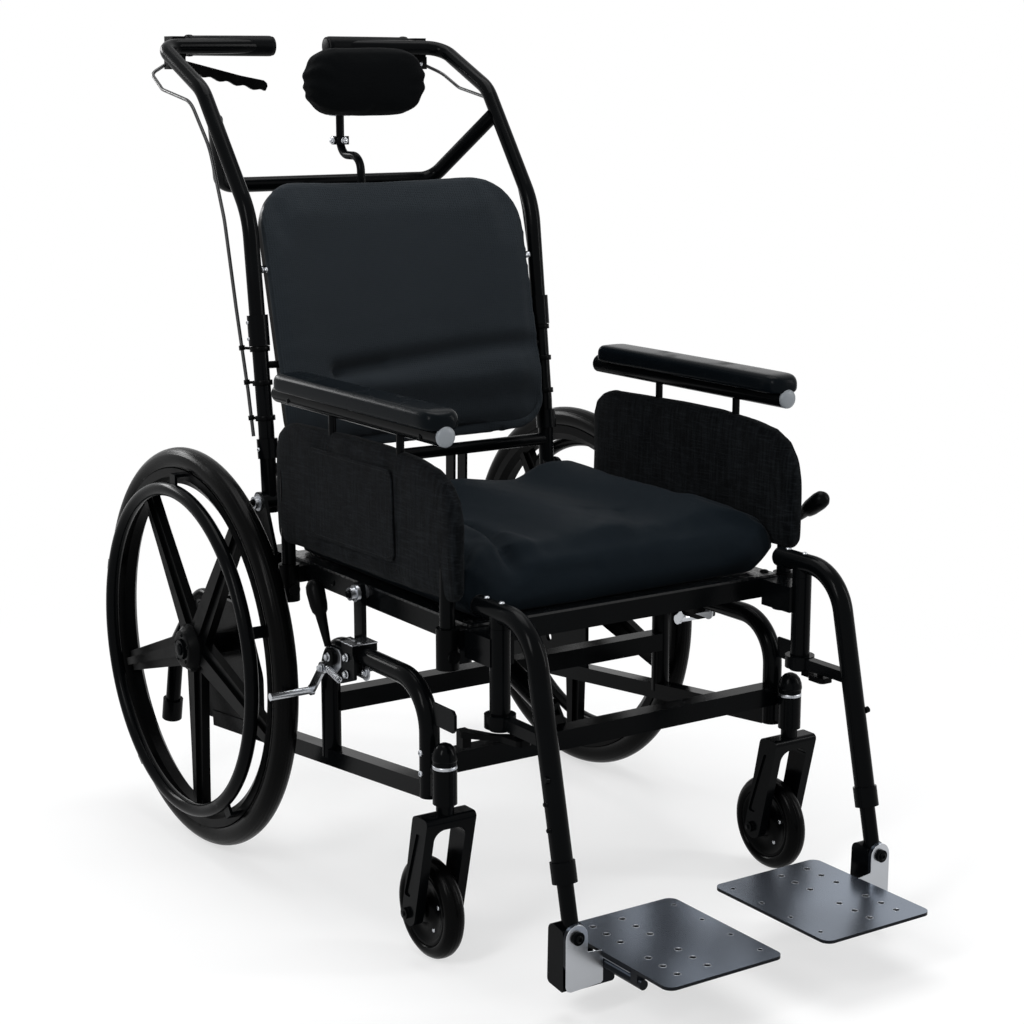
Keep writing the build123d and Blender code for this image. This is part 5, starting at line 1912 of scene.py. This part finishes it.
@dataclass
class Casters:
    """Caster wheels with a solid tyre and bolted disc, and the bright rings of their housings."""

    shop: Workshop
    x: float = 271.0
    y: float = -534.0
    stem_y: float = -567.0
    radius: float = 64.0
    half: float = 14.0

    def build(self) -> None:
        """Make both casters."""
        for side, sign in SIDES.items():
            roll = f"caster_roll_{side}"
            middle = at(sign * self.x, self.y, self.radius)
            out = Vector((sign, 0, 0))
            r, h = self.radius, self.half
            flank = [(46.5, -h + 2.5), (50, -h), (56, -h + 1.2), (61, -h + 5), (r - 0.6, -h + 9)]
            tyre = turned(f"caster_tyre_{side}", [*mirrored(flank, (r, 0)), (45, 0)], middle, out, 80)
            self.shop.place(self._closed(tyre), roll, Finish.TYRE, "tyre_rubber",
                            [f"caster_wheel_{side}"])
            flank = [(6.2, -h), (15, -h), (16.5, -h + 2), (20, -h + 6.5), (39, -h + 6.5),
                     (42, -h + 2.6), (46.8, -h + 2.2)]
            disc = turned(f"caster_disc_{side}", mirrored(flank, (47.6, 0)), middle, out, 64)
            self.shop.place(disc, roll, Finish.PLASTIC)
            bolts, ends = [], []
            for face in (1, -1):
                disc_x = sign * self.x + face * (h - 6.5)
                bolts += bolt_circle((disc_x, self.y, self.radius), 29, 5, 90, face, 0.7)
                ends.append((at(sign * self.x + face * 35, self.y, self.radius), (face, 0, 0), 0.8))
            self.shop.scattered(f"caster_disc_bolts_{side}", pan_head, bolts, roll, Finish.ZINC)
            self.shop.scattered(f"caster_axle_nuts_{side}", hex_bolt, ends, f"caster_{side}",
                                Finish.FRAME)
            self._rings(side, sign)

    @staticmethod
    def _closed(tyre: bpy.types.Object) -> bpy.types.Object:
        """Close a tyre's inner wall, which the turning left as two end faces.

        Args:
            tyre: The turned ring, which the new one replaces.

        Returns:
            The closed ring.
        """
        bm = bmesh.new()
        bm.from_mesh(tyre.data)
        caps = [face for face in bm.faces if len(face.verts) > 4]
        bmesh.ops.delete(bm, geom=caps, context="FACES_ONLY")
        rims = [edge for edge in bm.edges if edge.is_boundary]
        bmesh.ops.bridge_loops(bm, edges=rims)
        name = tyre.name
        bpy.data.objects.remove(tyre)
        return from_bmesh(name, bm)

    def _rings(self, side: str, sign: float) -> None:
        """Bearing ring and domed cap on top of a housing.

        Args:
            side: The side, left or right.
            sign: 1 on the left, -1 on the right.
        """
        ring = turned(f"bearing_ring_{side}",
                      [(12.9, 0), (14.2, 0), (15.2, 1.2), (15.2, 4.0), (14.2, 5.2), (12.9, 5.2)],
                      at(sign * self.x, self.stem_y, 250.4), Vector((0, 0, 1)))
        self.shop.place(self._closed(ring), "base", Finish.ZINC)
        profile = [(0, 0), (15.6, 0), (15.8, 2), (15.0, 8), (12.6, 14.5), (8.4, 19.2), (3.6, 21.4),
                   (0, 21.8)]
        dome = turned(f"housing_cap_{side}", profile, at(sign * self.x, self.stem_y, 261),
                      Vector((0, 0, 1)))
        self.shop.place(dome, "base", Finish.FRAME, "black_plastic")


# ------------------------------------------------------------------ footrests, fasteners and locks
@dataclass
class Footrests:
    """Bright hole edges, silver brackets and the hangers' buttons and plugs."""

    shop: Workshop
    rows: tuple[float, ...] = (22.0, 48.5, 76.0, 129.0, 156.0, 182.0)
    large: tuple[float, ...] = (123.5, 166.5)
    edge: float = 46.0
    rear: float = -705.0
    top: float = 81.0
    hinge: Pair = (233.0, 104.0)
    lobe: float = 15.2
    tube: Triple = (232.0, -762.0, 162.0)
    tube_run: Pair = (0.225, 0.9743)
    buttons: Pair = (62.0, 92.0)

    def build(self) -> None:
        """Dress both footrests."""
        for side, sign in SIDES.items():
            body = f"footplate_body_{side}"
            spots = [(at(sign * x, self.rear - row, self.top), (0, 0, 1), 1.0)
                     for row in self.rows for x in self.large]
            spots += [(at(sign * self.edge, self.rear - self.rows[i], self.top), (0, 0, 1), 0.74)
                      for i in (0, 2, 3, 5)]
            self.shop.scattered(f"hole_edges_{side}", hole_rim, spots, body, Finish.ZINC,
                                "anodised_plate")
            self._bracket(side, sign, body)
            self._buttons(side, sign)

    def _bracket(self, side: str, sign: float, body: str) -> None:
        """Silver face of the hinge bracket and the flange under the plate.

        Args:
            side: The side, left or right.
            sign: 1 on the left, -1 on the right.
            body: Name of the CAD body.
        """
        x = self.hinge[0]
        outline = arc(self.hinge, self.lobe, range(0, 181, 20))
        outline += [(x - self.lobe, 84), (198, 81.5), (196, 79.5), (196, 44), (198.5, 41.5),
                    (241, 39.6), (246, 41.5), (x + self.lobe, 47)]
        face = slab(f"hinge_bracket_{side}", outline, 0.9, upright(at(0, -787.1, 0), sign), 0.35)
        self.shop.place(face, body, Finish.ZINC)
        flange = [(146.8, -839.2), (197.2, -839.2), (197.2, -782.5), (146.8, -782.5)]
        under = slab(f"plate_flange_{side}", [(sign * u, v) for u, v in flange], 1.0,
                     Matrix.Translation(at(0, 0, 72.0)), 0.4)
        self.shop.place(under, body, Finish.ZINC)

    def _buttons(self, side: str, sign: float) -> None:
        """Snap buttons of the hanger and the extension.

        Args:
            side: The side, left or right.
            sign: 1 on the left, -1 on the right.
        """
        x, y, z = self.tube
        back, rise = self.tube_run
        spots = [(at(sign * (x + 12.4), y + back * distance, z + rise * distance), (sign, 0, 0), 0.9)
                 for distance in self.buttons]
        self.shop.scattered(f"hanger_buttons_{side}", snap_button, spots, f"hanger_{side}",
                            Finish.FRAME)
        profile = [(0, 0), (12.7, 0), (12.9, 1.5), (11, 4), (6, 5.4), (0, 5.8)]
        plug = turned(f"hanger_top_plug_{side}", profile, at(sign * x, -585.2, 450), Vector((0, 1, 0)))
        self.shop.place(plug, f"hanger_{side}", Finish.PLASTIC)


@dataclass(frozen=True)
class Fixing:
    """Fittings of one kind on a body, with X, Y, Z and scale of each on the left side."""

    name: str
    kind: Fitting
    body: str
    finish: Finish
    spots: tuple[tuple[float, float, float, float], ...]
    out: Triple | None = None

    def on(self, sign: float) -> list[Spot]:
        """Their spots on a side; without a direction of their own they face sideways."""
        return [(at(sign * x, y, z), self.out or (sign, 0, 0), size) for x, y, z, size in self.spots]


FORWARDS: Triple = (0, -1, 0)
UPWARDS: Triple = (0, 0, 1)
FIXINGS: tuple[Fixing, ...] = (
    Fixing("arm_buttons", pan_head, "armrest_*", Finish.FRAME,
           ((273.3, -520, 646, 0.9), (273.3, -190, 646, 0.9))),
    Fixing("lever_pin", pan_head, "back", Finish.ZINC, ((204, 256, 1076, 0.8),), FORWARDS),
    Fixing("hinge_bolt", socket_screw, "extension_*", Finish.FRAME, ((233, -792, 104, 0.95),),
           FORWARDS),
    Fixing("pivot_nuts", hex_bolt, "seat", Finish.FRAME,
           ((263, -326, 414, 0.62), (257, -50, 485, 0.62))),
    Fixing("rail_screws", socket_screw, "seat", Finish.FRAME,
           ((238.7, -545, 414, 0.8), (238.7, -505, 403, 0.8), (238.7, -240, 408, 0.8),
            (238.7, -150, 408, 0.8))),
    Fixing("plate_screws", socket_screw, "base", Finish.ZINC,
           ((278, -70, 250, 0.9), (278, -40, 322, 0.9), (278, 48, 322, 0.9), (278, 84, 200, 0.9),
            (282.8, -531, 236, 0.8), (282.8, -531, 262, 0.8))),
    Fixing("collar_screws", socket_screw, "back", Finish.ZINC,
           ((246.4, -49, 558, 0.6), (246.4, -27.5, 708, 0.6), (246.4, -25, 730, 0.6))),
    Fixing("pan_knob", pan_head, "seat", Finish.PLASTIC, ((230, -556, 423.9, 1.5),), UPWARDS),
    Fixing("hanger_arm_screws", socket_screw, "hanger_*", Finish.ZINC,
           ((232, -600, 462.4, 0.7), (232, -632, 462.4, 0.7)), UPWARDS),
    Fixing("lock_nuts", hex_bolt, "base", Finish.ZINC,
           ((299, -332, 338, 0.62), (304.5, -322, 322, 0.55))),
    Fixing("clamp_screws", socket_screw, "base", Finish.ZINC,
           ((276, -373, 361, 0.7), (276, -359, 361, 0.7)), UPWARDS),
    Fixing("lock_bolts", hex_bolt, "base", Finish.STEEL,
           ((291.4, -366, 344, 0.6), (291.4, -366, 322, 0.6))),
    Fixing("tongue_bolt", hex_bolt, "base", Finish.STEEL, ((276, -386, 327, 0.6),)),
)


@dataclass
class Fasteners:
    """Every fixing on both sides, the stop plates of the front legs and the locks' small parts."""

    shop: Workshop

    def build(self) -> None:
        """Set every fastener."""
        for side, sign in SIDES.items():
            for fixing in FIXINGS:
                self.shop.scattered(f"{fixing.name}_{side}", fixing.kind, fixing.on(sign),
                                    fixing.body.replace("*", side), fixing.finish)
            self._stop(side, sign)
            self._lock(side, sign)

    def _stop(self, side: str, sign: float) -> None:
        """Stop plate that stands out of the front leg.

        Args:
            side: The side, left or right.
            sign: 1 on the left, -1 on the right.
        """
        outline = [(-542, 299), (-542, 327), (-586, 327), (-591, 322), (-591, 304), (-586, 299)]
        plate = slab(f"stop_plate_{side}", outline, 4.0, standing(268, sign), 1.0)
        self.shop.place(plate, "base", Finish.FRAME)

    def _lock(self, side: str, sign: float) -> None:
        """Clamp strap, cheek, tongue and return spring of a wheel lock.

        Args:
            side: The side, left or right.
            sign: 1 on the left, -1 on the right.
        """
        outline = [(253.4, -381), (290.6, -381), (290.6, -351), (253.4, -351)]
        strap = slab(f"clamp_strap_{side}", outline, 1.4,
                     Matrix.Diagonal((sign, 1, 1, 1)) @ Matrix.Translation(at(0, 0, 361)), 0.4)
        self.shop.place(strap, "base", Finish.STEEL)
        outline = [(-352, 328), (-352, 344), (-346, 349.5), (-326, 349.5), (-318, 344), (-311, 326),
                   (-314, 312), (-334, 312)]
        cheek = slab(f"lock_cheek_{side}", outline, 1.3, standing(290.1, sign), 0.4)
        self.shop.place(cheek, "base", Finish.ZINC)
        outline = [*arc((-386, 327), 11, range(60, 301, 20)), (-360, 317.5), (-360, 336.5)]
        tongue = slab(f"lock_tongue_{side}", outline, 2.0, standing(274, sign), 0.5)
        self.shop.place(tongue, "base", Finish.ZINC)
        start, end = (at(sign * 297.4, y, z) for y, z in ((-360, 314), (-328, 322)))
        spring = self.shop.coil.wind(f"lock_spring_{side}", 9.0, 0.0038, 0.0008, start, end,
                                     self.shop.finishes[Finish.STEEL])
        self.shop.place(spring, "base", None, "bright_steel")


@dataclass(frozen=True)
class LeverShape:
    """Length of a lock lever from its pivot and its lean from upright towards the front."""

    reach: float
    lean: float


@dataclass
class LockLevers:
    """Wheel lock levers with their moulded grips; the left one has the long extension."""

    shop: Workshop
    pivot: Triple = (295.0, -332.0, 338.0)
    shapes: dict[str, LeverShape] = field(default_factory=lambda: {
        "left": LeverShape(322.0, 55.0), "right": LeverShape(98.0, -25.0)})

    def build(self) -> None:
        """Make both levers."""
        for side, sign in SIDES.items():
            shape = self.shapes[side]
            lean = math.radians(shape.lean)
            along = Vector((0, -math.sin(lean), math.cos(lean)))
            foot = at(sign * self.pivot[0], *self.pivot[1:])
            tip = shape.reach
            grip = turned(f"lock_grip_{side}",
                          [(0, 14), (4.4, 14), (4.8, tip - 78), (6.6, tip - 52), (7.4, tip - 42),
                           (10.0, tip - 38), (11.4, tip - 30), (12.2, tip - 12), (11.2, tip - 4),
                           (8.0, tip + 1), (4.0, tip + 3.4), (0, tip + 4)], foot, along, 40)
            profile = [(0, -4), (11, -4), (11.6, -3), (11.6, 3), (11, 4), (0, 4)]
            boss = turned(f"lock_boss_{side}", profile, foot, Vector((sign, 0, 0)), 40)
            body = f"lock_lever_{side}"
            self.shop.place(grip, body, Finish.PLASTIC, replaces=[f"wheel_lock_lever_{side}"])
            self.shop.place(boss, body, Finish.PLASTIC)


# ------------------------------------------------------------------ the chair
def main() -> None:
    """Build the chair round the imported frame."""
    logging.basicConfig(level=logging.INFO, format="%(name)s: %(message)s")
    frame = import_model()
    Stage().build()
    shop = Workshop(frame, palette())
    dress_carried(shop)
    for maker in (SeatCushion, SidePanels, Armrests, BackUpholstery, Headrest, Handles, Wheels, Casters,
                  Footrests, Fasteners, LockLevers):
        maker(shop).build()
        LOG.info("%s built", maker.__name__)


if __name__ == "__main__":
    main()
